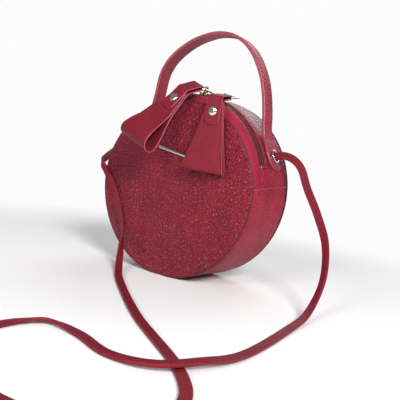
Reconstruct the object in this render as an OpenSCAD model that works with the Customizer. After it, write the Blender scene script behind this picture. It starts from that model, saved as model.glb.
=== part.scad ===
// Round zip-top bag: drum body, two-way zip with leather pulls, top handle and long narrow strap.
// Front faces -Y, left is -X, up is +Z. The origin is the centre of the flat patch that the bag rests on.

/* [Drum] */
// Outer radius of the round body
drum_r = 90; // [70:1:130]
// Depth of the side wall, from front seam to back seam
drum_depth = 68; // [60:1:110]
// Height cut off the bottom by the resting patch
rest_cut = 1; // [0.6:0.1:1.5]
// Thickness of the leather walls
leather_t = 1.8; // [1.4:0.1:2]
// How far the front and back panels crown outwards
panel_crown = 3; // [1:0.5:4]
// Radius taken off the leather edges at the seams
edge_ease_r = 1.3; // [0.5:0.1:1.3]
// Air left between two sheets that lie on each other
sheet_gap = 0.1; // [0.05:0.05:0.15]
// Thickness of the stiffening board in each panel
board_t = 1.2; // [0.8:0.1:1.5]
// Thickness of the lining cloth
lining_t = 0.8; // [0.5:0.1:1]
// Height of the side seams, as an angle above the drum's axis
side_seam_angle = 6; // [4:1:10]

/* [Zip] */
// Where the zip runs, measured backwards from the front of the side wall
zip_from_front = 19; // [16:1:22]
// Width of the window between the leather edges beside the zip
zip_window = 10; // [10:0.5:12]
// Angle above the drum's axis where the zip ends
zip_end_angle = 17; // [14:1:18]
// Width of each half of the cloth tape
tape_w = 11; // [9:0.5:12]
// Thickness of the cloth tape
tape_t = 0.8; // [0.6:0.1:1]
// Width of each half of the coil
coil_w = 2.4; // [2:0.1:2.6]
// Height of the coil
coil_h = 1.5; // [1.2:0.1:1.7]
// Gap between the two halves of the coil
coil_gap = 1.6; // [1.4:0.1:1.8]

/* [Sliders and rings] */
// Angle of the left slider on the drum
slider_left_angle = 83; // [82:0.1:84.5]
// Angle of the right slider on the drum
slider_right_angle = 69; // [68:0.1:70.5]
// Length of a slider along the zip
slider_len = 10.4; // [9:0.1:10.6]
// Width of a slider across the zip
slider_w = 8.8; // [8.4:0.1:9]
// Thickness of the slider's plates
slider_plate = 1.2; // [1:0.1:1.3]
// Running gap round the zip inside a slider
slider_gap = 0.3; // [0.2:0.05:0.35]
// Height of the pull ring's pivot above the leather
pivot_h = 4.9; // [4.8:0.1:5.4]
// Thickness of the slider's ear
ear_t = 1.6; // [1.2:0.1:1.8]
// Wall of the ear round its hole
ear_wall = 1.2; // [1:0.1:1.4]
// Diameter of the hole in the ear
ear_hole_d = 3.4; // [3.3:0.1:3.6]
// Diameter of the ring wire
wire_d = 1.8; // [1.4:0.1:1.8]
// Distance between the ring's two bars
ring_reach = 15; // [14:0.5:16]
// Length of the ring's bars
ring_w = 17.6; // [16.5:0.1:18]
// Radius of the ring's corners
ring_corner = 2; // [1.5:0.1:2.5]

/* [Leather pulls] */
// Length of a pull from the ring bar to its rounded end
pull_len = 83; // [70:1:90]
// Width of a pull at its neck
pull_neck_w = 14.5; // [13:0.5:14.5]
// Width of a pull at its rounded end
pull_end_w = 42; // [34:1:46]
// Thickness of one layer of pull leather
pull_t = 1.3; // [1:0.1:1.4]
// Length of the folded-over tab with the rivet
tab_len = 40; // [37:1:43]
// Size of the corners cut off the tab
tab_corner = 3.5; // [2:0.5:4]
// Distance of the rivet from the ring bar
rivet_down = 28; // [26:0.5:30]
// Diameter of the rivet's cap
rivet_cap_d = 8.5; // [7:0.5:9]
// Height of the rivet's cap
rivet_cap_h = 1.4; // [1:0.1:1.6]
// Diameter of the rivet's post
rivet_post_d = 3; // [2.5:0.1:3.2]
// Half the opening of the left pull's loop at its widest
loop_left_half_w = 5.8; // [4:0.1:6.5]
// Half the opening of the right pull's loop at its widest
loop_right_half_w = 2; // [1.6:0.1:2.4]

/* [Handle] */
// Width of the handle band
handle_w = 16; // [14:1:18]
// Thickness of the handle band
handle_t = 3; // [2.5:0.1:3.5]
// Height of the handle's arch above the line on which it folds
handle_rise = 78; // [68:0.5:88]
// Where the handle stands, measured backwards from the middle of the side wall
handle_back = 9; // [8:0.5:12]
// Height of the line on which the handle folds, above the upper end of its tabs
fold_rise = 12.9; // [12.8:0.1:14]
// How far the handle's feet stand out past the upper end of its tabs
foot_out = 0.4; // [0:0.1:1.5]
// Angle of the upper end of the tabs that hold the handle
handle_tab_top = 42; // [41:0.5:43]
// Thickness of the handle tabs
handle_tab_t = 2; // [1.6:0.1:2.2]
// Width of the handle tabs at the eyelets
handle_tab_w = 27; // [25:0.5:28]
// Width of the handle tabs at their upper end
handle_tab_neck_w = 20; // [19:0.5:21]

/* [Eyelets and strap] */
// Angle of the eyelets on the drum
eyelet_angle = 25; // [24:0.5:26]
// Outer diameter of the eyelet's rim
eyelet_d = 13; // [12:0.5:14]
// Diameter of the eyelet's hole
eyelet_hole_d = 8.8; // [8.4:0.1:9.2]
// Wall of the eyelet's barrel
eyelet_wall = 0.8; // [0.6:0.1:1]
// Thickness of the eyelet's rim and washer
eyelet_rim = 1; // [0.8:0.1:1.2]
// Width of the shoulder strap
strap_w = 7; // [6:0.5:7.5]
// Thickness of the shoulder strap
strap_t = 2.4; // [2:0.1:2.6]

/* [Plain bar] */
// Length of the plain metal bar on the front
bar_len = 36; // [28:1:40]
// Height of the bar
bar_h = 3.2; // [2.5:0.1:4]
// Thickness of the bar
bar_t = 1.6; // [1.2:0.1:2]
// Diameter of the bar's two fixing prongs
prong_d = 1.6; // [1.2:0.1:2]

/* [Hidden] */

// Colours
crimson = "#8E2A3C";
bright_crimson = "#B02A46";
dark_coil = "#5A2A2C";
silver = "#D8D4CC";
gold_silver = "#D9CDB4";
lining_red = "#7A2434";
board_grey = "#9A948C";

// The drum's frame
$fn = 72;
small_fn = 32;
overrun = 1;
left = -1;
right = 1;
centre_h = drum_r - rest_cut;
half_depth = drum_depth / 2;
zip_forward = half_depth - zip_from_front;
wall_r = drum_r - leather_t;
full_turn = 360;
half_turn = 180;
quarter = 90;

// Sheets under the leather
lining_r = wall_r - sheet_gap;
window_front = -zip_forward - zip_window / 2;
window_back = -zip_forward + zip_window / 2;
seam_gap_angle = 0.15;

// Zip: tape under the leather, coil on the tape, slider round the coil
tape_r = wall_r - sheet_gap;
tape_in = tape_r - tape_t;
coil_r = tape_r + sheet_gap / 2;
coil_top = coil_r + coil_h;
tape_edge = coil_gap / 2 + sheet_gap;
tape_far = tape_edge + tape_w;
stop_angle = 1.2;
plate_low = coil_top + slider_gap;
plate_high = plate_low + slider_plate;
under_high = tape_in - slider_gap;
under_low = under_high - slider_plate;
slider_half_angle = asin(slider_len / 2 / drum_r);
flange_in = coil_gap / 2 + coil_w + slider_gap;
post_w = coil_gap - 2 * slider_gap;
post_share = 0.4;
flange_low = tape_r + slider_gap;
pivot_r = drum_r + pivot_h;
ear_r = ear_hole_d / 2 + ear_wall;

// How the pulls lie at rest: turn about the upright, lean forwards, roll sideways
pull_pose_left = [-9.4, -30.3, 21.2];
pull_pose_right = [10.3, -1.8, 2.5];
// Tilt of each ring about its bar against its pull, and how far the ear sits from the bar's middle
ring_tilt_left = 24.6;
ring_tilt_right = 11.6;
ring_shift_left = 2.8;
ring_shift_right = 5.6;
// The neck lies over the seam before the pull hangs: its length and its bend
neck_left = 16;
neck_right = 15.7;
bend_left = 35;
bend_right = 76;

// Layers of a folded pull, from the bar's middle line
wire_gap = 0.25;
fold_in = wire_d / 2 + wire_gap;
fold_mid = fold_in + pull_t / 2;
fold_out = fold_in + pull_t;
neck_straight_share = 0.42;
rivet_gap = 0.1;
rivet_tail = 1;

// Handle tabs and eyelets
tab_r = drum_r + sheet_gap;
tab_out = tab_r + handle_tab_t;
barrel_r = eyelet_hole_d / 2 + eyelet_wall;
hole_gap = 0.1;
rim_seat = 0.25;
washer_high = lining_r - lining_t - rim_seat - sheet_gap;
washer_low = washer_high - eyelet_rim;
knot_r = 6;
knot_thick = 2.6;
knot_middle = washer_low - sheet_gap - knot_thick;

// Half of the handle's middle line: share of the foot distance, then share of the height above the fold
handle_share = [
  [1, 0], [0.975, 0.12], [0.94, 0.27], [0.89, 0.42], [0.82, 0.55], [0.73, 0.69], [0.62, 0.81],
  [0.48, 0.92], [0.28, 0.985], [0.05, 1]
];
// The left side stands differently from the right one: added share at the same points
handle_left_share = [0, -0.012, 0, 0.035, 0.068, 0.05, -0.005, -0.09, -0.15, 0];
foot_gap = 0.35;

// Seam bindings inside
binding_w = 2;
binding_h = 3;

// The shoulder strap's route, from the right knot round to the left one, and the turn of its flat
// side at each point: 0 lies flat, 90 stands on edge
strap_route = [
  [76.6, 9, 124.7, 90], [84.3, 9, 128.3, 90], [93.4, 9.2, 129.5, 90], [103, 9.8, 126.5, 90],
  [111, 10.7, 118.7, 90], [118.6, 11.4, 103, 86], [132.5, 10, 81.5, 76], [147, 3, 57.5, 62],
  [156.5, -14, 30.5, 44], [159, -40, 7.5, 18], [163.5, -80, 2.1, 0], [173, -158, 2, 0],
  [169, -199, 5, 0], [154, -223, 4, 0], [125, -228.5, 1.6, 0], [93, -220.5, 1.7, 4],
  [66, -222, 2.7, 24], [56.5, -246, 2, 6], [68, -280, 1.5, 0], [108, -304, 1.5, 0],
  [154, -304, 1.5, 0], [188, -283, 1.5, 0], [192, -248, 1.5, 0], [162, -211.5, 1.4, 0],
  [84, -159, 1.5, 0], [8, -97, 1.7, 0], [-24, -66, 4.5, 12], [-41.5, -47.5, 18, 48],
  [-51.5, -39.7, 38.5, 82], [-69, -39.1, 74.5, 90], [-83.5, -39.4, 91.5, 90],
  [-94.5, -35.5, 99, 86], [-101.5, -23.5, 104.8, 56], [-105.6, -9.6, 112.2, 24],
  [-106, -1.1, 119.1, 6], [-102.9, 3.9, 124.4, 0], [-97.6, 7.1, 127.9, 0],
  [-91.1, 8.6, 129.3, 0], [-84.3, 9, 128.3, 0], [-76.6, 9, 124.7, 0]
];

// Places a shape that is drawn upright at the top of the drum's axis at an angle on the drum
module on_drum(angle) {
  translate([0, 0, centre_h])
    rotate([0, quarter - angle, 0])
      children();
}

// Block bent round the drum: from angle a0 to a1, radius r0 to r1, depth y0 to y1
module arc_block(a0, a1, r0, r1, y0, y1) {
  translate([0, 0, centre_h])
    rotate([quarter, 0, 0])
      rotate([0, 0, a0])
        rotate_extrude(angle = a1 - a0)
          translate([r0, -y1])
            square([r1 - r0, y1 - y0]);
}

// Points of a quarter circle about a centre, or the one corner where the radius is zero
function eased_corner(c, r, start, turn = quarter, steps = 3) =
  r == 0
    ? [c]
    : [for (i = [0 : steps]) c + r * [cos(start + turn * i / steps), sin(start + turn * i / steps)]];

// Leather strip bent round the drum, with its outer edges eased at front and back where asked
module leather_strip(a0, a1, y0, y1, ease_front = 0, ease_back = 0) {
  f = edge_ease_r * ease_front;
  b = edge_ease_r * ease_back;
  translate([0, 0, centre_h])
    rotate([quarter, 0, 0])
      rotate([0, 0, a0])
        rotate_extrude(angle = a1 - a0)
          polygon(concat(
            [[wall_r, -y0], [wall_r, -y1]],
            eased_corner([drum_r - b, -y1 + b], b, -quarter),
            eased_corner([drum_r - f, -y0 - f], f, 0)
          ));
}

// How far the crowned panel stands out at a distance from its middle
function crown_at(rho) = panel_crown * (1 - pow(rho / drum_r, 2));

// Crowned disc across the drum: its inner face lies at depth d from the middle of the drum
module crowned_disc(r, d, t, e = 0, steps = 4) {
  edge = r - e;
  outer = [for (i = [0 : steps]) [edge * i / steps, d + t + crown_at(edge * i / steps)]];
  inner = [for (i = [steps : -1 : 0]) [edge * i / steps, d + crown_at(edge * i / steps)]];
  rim = e == 0 ? [] : eased_corner([edge, d + t - e + crown_at(edge)], e, quarter, -quarter);
  translate([0, 0, centre_h])
    rotate([quarter, 0, 0])
      rotate_extrude()
        polygon(concat(outer, rim, e == 0 ? [] : [[r, d + crown_at(r)]], inner));
}

// Round hole through the wall at an angle on the drum
module wall_hole(angle, d) {
  on_drum(angle)
    translate([0, handle_back, drum_r / 2])
      cylinder(d = d, h = drum_r, $fn = small_fn);
}

module eyelet_holes(d = 2 * barrel_r + 2 * hole_gap) {
  wall_hole(eyelet_angle, d);
  wall_hole(half_turn - eyelet_angle, d);
}

module below_floor() {
  big = 2 * drum_r + drum_depth;
  translate([-big / 2, -big / 2, -big])
    cube(big);
}

module mirrored_back() {
  mirror([0, 1, 0])
    children();
}

// Leather body
inner_depth = half_depth - leather_t;
board_depth = inner_depth - sheet_gap - board_t;
lining_depth = board_depth - sheet_gap - lining_t;
board_r = wall_r - binding_h - lining_t;
strip_end = inner_depth - sheet_gap;

module front_panel() {
  color(crimson)
    difference() {
      crowned_disc(drum_r, inner_depth, leather_t, edge_ease_r);
      below_floor();
      bar_prongs(hole_gap);
    }
}

module back_panel() {
  color(crimson)
    difference() {
      mirrored_back()
        crowned_disc(drum_r, inner_depth, leather_t, edge_ease_r);
      below_floor();
    }
}

module lower_gusset() {
  color(crimson)
    difference() {
      leather_strip(half_turn - side_seam_angle, full_turn + side_seam_angle, -strip_end, strip_end);
      below_floor();
    }
}

module front_zip_strip() {
  color(bright_crimson)
    leather_strip(zip_end_angle + seam_gap_angle, half_turn - zip_end_angle - seam_gap_angle,
      -strip_end, window_front);
}

module rear_zip_strip() {
  color(crimson)
    difference() {
      leather_strip(zip_end_angle + seam_gap_angle, half_turn - zip_end_angle - seam_gap_angle,
        window_back, strip_end);
      eyelet_holes();
    }
}

module zip_end_piece_right() {
  color(crimson)
    leather_strip(side_seam_angle + seam_gap_angle, zip_end_angle, -strip_end, strip_end);
}

module zip_end_piece_left() {
  color(crimson)
    leather_strip(half_turn - zip_end_angle, half_turn - side_seam_angle - seam_gap_angle,
      -strip_end, strip_end);
}

// Zip
tape_under_angle = 4;
tape_a0 = zip_end_angle - tape_under_angle;
tape_a1 = half_turn - tape_a0;
coil_a0 = zip_end_angle + stop_angle + 2 * seam_gap_angle;
coil_a1 = half_turn - coil_a0;

module zip_tape_front() {
  color(dark_coil)
    arc_block(tape_a0, tape_a1, tape_in, tape_r, -zip_forward - tape_far, -zip_forward - tape_edge);
}

module zip_tape_rear() {
  color(dark_coil)
    arc_block(tape_a0, tape_a1, tape_in, tape_r, -zip_forward + tape_edge, -zip_forward + tape_far);
}

module zip_coil_front() {
  color(dark_coil)
    arc_block(coil_a0, coil_a1, coil_r, coil_top, -zip_forward - coil_gap / 2 - coil_w,
      -zip_forward - coil_gap / 2);
}

module zip_coil_rear() {
  color(dark_coil)
    arc_block(coil_a0, coil_a1, coil_r, coil_top, -zip_forward + coil_gap / 2,
      -zip_forward + coil_gap / 2 + coil_w);
}

module zip_stop(a0) {
  half = coil_gap / 2 + coil_w;
  color(gold_silver)
    arc_block(a0, a0 + stop_angle, coil_r, coil_top, -zip_forward - half, -zip_forward + half);
}

module zip_stop_right() {
  zip_stop(zip_end_angle + seam_gap_angle);
}

module zip_stop_left() {
  zip_stop(half_turn - zip_end_angle - seam_gap_angle - stop_angle);
}

// Slider: top plate with side flanges, post between the coils, plate under the tapes, ear on top
slider_corner = 2;
module slider(angle) {
  flange_t = slider_w / 2 - flange_in;
  color(gold_silver)
    on_drum(angle)
      translate([0, -zip_forward, 0]) {
        translate([0, 0, plate_low])
          slider_plate_shape(slider_plate);
        translate([0, 0, under_low])
          slider_plate_shape(slider_plate);
        translate([-slider_len * post_share / 2, -post_w / 2, under_low + slider_plate / 2])
          cube([slider_len * post_share, post_w, plate_low - under_low]);
        for (side = [left, right])
          translate([-slider_len / 2 + slider_corner, side * (flange_in + flange_t / 2) - flange_t / 2, flange_low])
            cube([slider_len - 2 * slider_corner, flange_t, plate_high - flange_low - slider_plate / 2]);
        slider_ear();
      }
}

module slider_plate_shape(t) {
  linear_extrude(t)
    offset(r = slider_corner, $fn = small_fn)
      square([slider_len - 2 * slider_corner, slider_w - 2 * slider_corner], center = true);
}

module slider_ear() {
  translate([-ear_t / 2, 0, 0])
    rotate([quarter, 0, quarter])
      linear_extrude(ear_t)
        difference() {
          union() {
            translate([0, pivot_r])
              circle(ear_r, $fn = small_fn);
            translate([-ear_r, plate_high - slider_plate / 2])
              square([2 * ear_r, pivot_r - plate_high + slider_plate / 2]);
          }
          translate([0, pivot_r])
            circle(d = ear_hole_d, $fn = small_fn);
        }
}

module slider_left() {
  slider(slider_left_angle);
}

module slider_right() {
  slider(slider_right_angle);
}

// Pull ring: a flat wire loop with its near bar in the ear and its far bar in the pull
module pull_ring(angle, pose, tilt, shift) {
  color(silver)
    at_pivot(angle, pose)
      rotate([tilt, 0, 0])
        translate([shift, 0, 0])
          wire_loop();
}

module at_pivot(angle, pose) {
  translate([pivot_r * cos(angle), -zip_forward, centre_h + pivot_r * sin(angle)])
    rotate([pose[1], pose[2], pose[0]])
      children();
}

wire_fn = 12;
module wire_loop() {
  half = ring_w / 2;
  run = half - ring_corner;
  reach = ring_reach - 2 * ring_corner;
  for (y = [0, -ring_reach])
    translate([-run, y, 0])
      rotate([0, quarter, 0])
        cylinder(d = wire_d, h = 2 * run, $fn = wire_fn);
  for (side = [left, right])
    translate([side * half, -ring_corner, 0])
      rotate([quarter, 0, 0])
        cylinder(d = wire_d, h = reach, $fn = wire_fn);
  for (i = [0 : 3])
    translate([(i == 0 || i == 3 ? right : left) * run, i < 2 ? -ring_corner : ring_corner - ring_reach, 0])
      rotate([0, 0, quarter * i])
        rotate_extrude(angle = quarter, $fn = small_fn)
          translate([ring_corner, 0])
            circle(d = wire_d, $fn = wire_fn);
}

module pull_ring_left() {
  pull_ring(slider_left_angle, pull_pose_left, ring_tilt_left, ring_shift_left);
}

module pull_ring_right() {
  pull_ring(slider_right_angle, pull_pose_right, ring_tilt_right, ring_shift_right);
}

// Leather pulls, drawn hanging from the ring's far bar with their front towards -Y
module at_far_bar(angle, pose, tilt, shift) {
  at_pivot(angle, pose)
    rotate([tilt, 0, 0])
      translate([shift, -ring_reach, 0])
        rotate([-tilt, 0, 0])
          children();
}

module at_left_pull() {
  at_far_bar(slider_left_angle, pull_pose_left, ring_tilt_left, ring_shift_left)
    children();
}

module at_right_pull() {
  at_far_bar(slider_right_angle, pull_pose_right, ring_tilt_right, ring_shift_right)
    children();
}

// Where the neck ends and the leaf starts, as forward and upward distances
function neck_end(neck, bend) = [-neck * sin(bend), -neck * cos(bend)];

pull_fn = 24;
module pull_side(neck, bend, loop) {
  b = neck_end(neck, bend);
  half = loop + pull_t;
  tab_z = b[1] - (tab_len - neck);
  far_z = b[1] - (pull_len - neck) + half;
  fold_steps = 8;
  difference() {
    union() {
      circle(fold_out, $fn = pull_fn);
      rotate(-bend)
        translate([-fold_out, -neck])
          square([2 * fold_out, neck]);
      translate(b)
        circle(fold_out, $fn = pull_fn);
      polygon(concat(
        [[b[0] + fold_out, b[1]], [b[0] - fold_in, b[1]], [b[0] - fold_in, tab_z]],
        [for (i = [0 : fold_steps])
          [b[0] - half * cos(half_turn * i / fold_steps), far_z - half * sin(half_turn * i / fold_steps)]],
        [[b[0] + fold_out, tab_z]]
      ));
    }
    circle(fold_in, $fn = pull_fn);
    polygon(concat(
      [[b[0], tab_z]],
      [for (i = [0 : fold_steps])
        [b[0] - loop * cos(half_turn * i / fold_steps), far_z - loop * sin(half_turn * i / fold_steps)]]
    ));
  }
}

// Half widths of a pull down its length: share of the leaf, share of the widening
pull_width_share = [[0, 0], [0.12, 0.09], [0.35, 0.3], [0.6, 0.56], [0.8, 0.79], [1, 1]];
module pull_plan(neck, bend) {
  b = neck_end(neck, bend);
  leaf = pull_len - neck;
  grow = (pull_end_w - pull_neck_w) / 2;
  points = [for (p = pull_width_share) [pull_neck_w / 2 + grow * p[1], b[1] - leaf * p[0]]];
  last = len(points) - 1;
  polygon(concat(
    [[pull_neck_w / 2, fold_out + overrun]], points,
    [[pull_end_w / 2, b[1] - leaf - overrun], [-pull_end_w / 2, b[1] - leaf - overrun]],
    [for (i = [last : -1 : 0]) [-points[i][0], points[i][1]]],
    [[-pull_neck_w / 2, fold_out + overrun]]
  ));
}

// Tab folded over the front of the pull, with its lower corners cut off
module pull_tab(neck, bend) {
  b = neck_end(neck, bend);
  drop = tab_len - neck;
  half = pull_neck_w / 2;
  translate([0, b[0] - fold_in, b[1]])
    rotate([quarter, 0, 0])
      linear_extrude(pull_t)
        polygon([
          [half, 0], [half, tab_corner - drop], [half - tab_corner, -drop],
          [tab_corner - half, -drop], [-half, tab_corner - drop], [-half, 0]
        ]);
}

module leather_pull(neck, bend, loop) {
  b = neck_end(neck, bend);
  color(crimson)
    difference() {
      union() {
        intersection() {
          translate([-pull_end_w / 2 - overrun, 0, 0])
            rotate([quarter, 0, quarter])
              linear_extrude(pull_end_w + 2 * overrun)
                pull_side(neck, bend, loop);
          translate([0, overrun + fold_out + loop, 0])
            rotate([quarter, 0, 0])
              linear_extrude(neck + 2 * (loop + fold_out + overrun))
                pull_plan(neck, bend);
        }
        pull_tab(neck, bend);
      }
      at_rivet(neck, bend)
        translate([0, -neck, 0])
          rotate([-quarter, 0, 0])
            cylinder(d = rivet_post_d + 2 * rivet_gap, h = 2 * neck, $fn = pull_fn);
    }
}

module at_rivet(neck, bend) {
  b = neck_end(neck, bend);
  translate([0, b[0], b[1] - (rivet_down - neck)])
    children();
}

module leather_pull_left() {
  at_left_pull()
    leather_pull(neck_left, bend_left, loop_left_half_w);
}

module leather_pull_right() {
  at_right_pull()
    leather_pull(neck_right, bend_right, loop_right_half_w);
}

// Rivet: domed cap on the front with a post through the layers, plate at the back
rivet_plate_t = 0.8;
module rivet(neck, bend) {
  stack = fold_out + rivet_gap;
  color(silver)
    at_rivet(neck, bend) {
      translate([0, -stack, 0])
        rotate([quarter, 0, 0])
          domed_cap();
      translate([0, -stack - rivet_gap, 0])
        rotate([-quarter, 0, 0])
          cylinder(d = rivet_post_d, h = 2 * stack + rivet_plate_t + 2 * rivet_gap, $fn = pull_fn);
    }
}

// Share of the cap's radius and share of its height
cap_share = [[0, 0], [1, 0], [1, 0.3], [0.9, 0.6], [0.7, 0.84], [0.4, 0.97], [0, 1]];
module domed_cap() {
  rotate_extrude($fn = pull_fn)
    polygon([for (p = cap_share) [p[0] * rivet_cap_d / 2, p[1] * rivet_cap_h]]);
}

back_plate_share = 0.8;
module rivet_back(neck, bend) {
  color(silver)
    at_rivet(neck, bend)
      translate([0, fold_out + rivet_gap, 0])
        rotate([-quarter, 0, 0])
          difference() {
            cylinder(d = rivet_cap_d * back_plate_share, h = rivet_plate_t, $fn = pull_fn);
            translate([0, 0, -overrun])
              cylinder(d = rivet_post_d + rivet_gap, h = rivet_plate_t + 2 * overrun, $fn = pull_fn);
          }
}

module rivet_left() {
  at_left_pull()
    rivet(neck_left, bend_left);
}

module rivet_right() {
  at_right_pull()
    rivet(neck_right, bend_right);
}

module rivet_back_left() {
  at_left_pull()
    rivet_back(neck_left, bend_left);
}

module rivet_back_right() {
  at_right_pull()
    rivet_back(neck_right, bend_right);
}

// Handle: flat band on an arch, its feet are half discs about the fold line
fold_z = centre_h + tab_out * sin(handle_tab_top) + fold_rise;
foot_x = tab_out * cos(handle_tab_top) + foot_out;
last_share = len(handle_share) - 1;
arch_middle = concat(
  [for (i = [0 : last_share]) [foot_x * handle_share[i][0], fold_z + handle_rise * handle_share[i][1]]],
  [for (i = [last_share - 1 : -1 : 0])
    [-foot_x * (handle_share[i][0] + handle_left_share[i]), fold_z + handle_rise * handle_share[i][1]]]
);
function flat_normal(points, i) =
  let (a = points[max(i - 1, 0)], b = points[min(i + 1, len(points) - 1)], d = (b - a) / norm(b - a))
  (i == 0 || i == len(points) - 1) ? [i == 0 ? right : left, 0] : [d[1], -d[0]];

module handle() {
  n = len(arch_middle);
  half = handle_t / 2;
  color(crimson)
    translate([0, handle_back, 0]) {
      translate([0, handle_w / 2, 0])
        rotate([quarter, 0, 0])
          linear_extrude(handle_w)
            polygon(concat(
              [for (i = [0 : n - 1]) arch_middle[i] + half * flat_normal(arch_middle, i)],
              [for (i = [n - 1 : -1 : 0]) arch_middle[i] - half * flat_normal(arch_middle, i)]
            ));
      for (side = [left, right])
        translate([side * foot_x - half, 0, fold_z])
          rotate([0, quarter, 0])
            cylinder(d = handle_w, h = handle_t, $fn = small_fn);
    }
}

// Handle tab: curved plate on the rear strip with a bore for the eyelet, its end hollowed round the foot
tab_tip_angle = 16;
stub_drop = 7.2;
// Half widths of the tab at distances above the eyelet
tab_taper = 13;
tab_steps = [
  [0, handle_tab_w / 2], [tab_taper, handle_tab_neck_w / 2], [drum_r, handle_tab_neck_w / 2]
];
module handle_tab(side) {
  a = side == right ? eyelet_angle : half_turn - eyelet_angle;
  hollow_r = handle_w / 2 + foot_gap;
  rough_half = handle_tab_w / 2 + overrun;
  color(crimson)
    difference() {
      intersection() {
        union() {
          arc_block(side == right ? tab_tip_angle : half_turn - handle_tab_top,
            side == right ? handle_tab_top : half_turn - tab_tip_angle,
            tab_r, tab_out, handle_back - rough_half, handle_back + rough_half);
          difference() {
            translate([side * foot_x - handle_t / 2, handle_back - rough_half, fold_z - 2 * stub_drop])
              cube([handle_t, 2 * rough_half, stub_drop]);
            translate([0, drum_r, centre_h])
              rotate([quarter, 0, 0])
                cylinder(r = (tab_r + tab_out) / 2, h = 2 * drum_r);
          }
        }
        on_drum(a)
          tab_outline(side);
      }
      wall_hole(a, 2 * barrel_r + 2 * hole_gap);
      translate([side * foot_x - handle_t, handle_back, fold_z])
        rotate([0, quarter, 0])
          cylinder(r = hollow_r, h = 2 * handle_t, $fn = small_fn);
    }
}

// Outline of the tab seen along its eyelet: a round tip below, straight sides up to the handle
module tab_outline(side) {
  linear_extrude(2 * drum_r)
    union() {
      translate([0, handle_back])
        circle(d = handle_tab_w, $fn = small_fn);
      translate([0, handle_back])
        polygon(concat(
          [for (step = tab_steps) side * [-step[0], step[1]]],
          [for (i = [len(tab_steps) - 1 : -1 : 0]) side * [-tab_steps[i][0], -tab_steps[i][1]]]
        ));
    }
}

module handle_tab_left() {
  handle_tab(left);
}

module handle_tab_right() {
  handle_tab(right);
}

// Eyelets with washers inside, and the strap's knots behind them
module eyelet(angle) {
  color(silver)
    on_drum(angle)
      translate([0, handle_back, 0])
        difference() {
          union() {
            translate([0, 0, washer_low])
              cylinder(r = barrel_r, h = tab_out - washer_low + eyelet_rim / 2, $fn = small_fn);
            translate([0, 0, tab_out + sheet_gap])
              cylinder(d = eyelet_d, h = eyelet_rim, $fn = small_fn);
          }
          translate([0, 0, washer_low - overrun])
            cylinder(d = eyelet_hole_d, h = drum_r, $fn = small_fn);
        }
}

module eyelet_washer(angle) {
  color(silver)
    on_drum(angle)
      translate([0, handle_back, washer_low])
        difference() {
          cylinder(d = eyelet_d, h = eyelet_rim, $fn = small_fn);
          translate([0, 0, -overrun])
            cylinder(r = barrel_r + hole_gap, h = eyelet_rim + 2 * overrun, $fn = small_fn);
        }
}

module strap_knot(angle) {
  color(crimson)
    on_drum(angle)
      translate([0, handle_back, knot_middle])
        scale([1, 1, knot_thick / knot_r])
          sphere(knot_r, $fn = pull_fn);
}

module eyelet_left() {
  eyelet(half_turn - eyelet_angle);
}

module eyelet_right() {
  eyelet(eyelet_angle);
}

module eyelet_washer_left() {
  eyelet_washer(half_turn - eyelet_angle);
}

module eyelet_washer_right() {
  eyelet_washer(eyelet_angle);
}

module strap_knot_left() {
  strap_knot(half_turn - eyelet_angle);
}

module strap_knot_right() {
  strap_knot(eyelet_angle);
}

// Shoulder strap: a flat band swept along its route
function place(p) = [p[0], p[1], p[2]];
route_last = len(strap_route) - 1;
function curve(a, b, c, d, t) =
  (2 * b + (c - a) * t + (2 * a - 5 * b + 4 * c - d) * t * t + (3 * b - a - 3 * c + d) * t * t * t) / 2;
function route_at(i) = strap_route[min(max(i, 0), route_last)];
route = concat(
  [for (i = [0 : route_last - 1], t = [0, 0.5])
    curve(route_at(i - 1), route_at(i), route_at(i + 1), route_at(i + 2), t)],
  [route_at(route_last)]
);
ring_last = len(route) - 1;
function way(i) =
  let (d = place(route[min(i + 1, ring_last)]) - place(route[max(i - 1, 0)]))
  d / norm(d);
function beside(i) =
  let (d = cross([0, 0, 1], way(i)))
  d / norm(d);
strap_ease = strap_t / 4;
strap_section = [
  [strap_w / 2, -strap_ease], [strap_w / 2, strap_ease], [strap_w / 2 - strap_ease, strap_t / 2],
  [strap_ease - strap_w / 2, strap_t / 2], [-strap_w / 2, strap_ease], [-strap_w / 2, -strap_ease],
  [strap_ease - strap_w / 2, -strap_t / 2], [strap_w / 2 - strap_ease, -strap_t / 2]
];
function strap_ring(i) =
  let (
    s = beside(i), n = cross(way(i), s), a = route[i][3],
    wide = s * cos(a) + n * sin(a), thick = n * cos(a) - s * sin(a)
  )
  [for (q = strap_section) place(route[i]) + q[0] * wide + q[1] * thick];

module shoulder_strap() {
  sides = len(strap_section);
  count = len(route);
  points = [for (i = [0 : count - 1]) each strap_ring(i)];
  walls = [for (i = [0 : count - 2], k = [0 : sides - 1])
    let (a = i * sides + k, b = i * sides + (k + 1) % sides)
    each [[a, b, b + sides], [a, b + sides, a + sides]]];
  start_cap = [for (k = [sides - 1 : -1 : 0]) k];
  end_cap = [for (k = [0 : sides - 1]) (count - 1) * sides + k];
  color(crimson)
    polyhedron(points = points, faces = concat(walls, [start_cap, end_cap]), convexity = 10);
}

// Plain metal bar on the front panel, held by two prongs through the leather and the board
bar_h_place = 31;
bar_x_place = -1;
bar_tilt = 10;
prong_share = 0.35;
bar_rho = norm([bar_x_place, bar_h_place]);
bar_back = inner_depth + leather_t + crown_at(bar_rho) + sheet_gap;
prong_deep = bar_back - board_depth - crown_at(bar_rho);
module at_bar() {
  translate([bar_x_place, -bar_back, centre_h + bar_h_place])
    rotate([quarter, bar_tilt, 0])
      children();
}

module bar_prongs(extra = 0) {
  at_bar()
    for (side = [left, right])
      translate([side * bar_len * prong_share, 0, -prong_deep - extra])
        cylinder(d = prong_d + 2 * extra, h = prong_deep + bar_t / 2 + extra, $fn = pull_fn);
}

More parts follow.
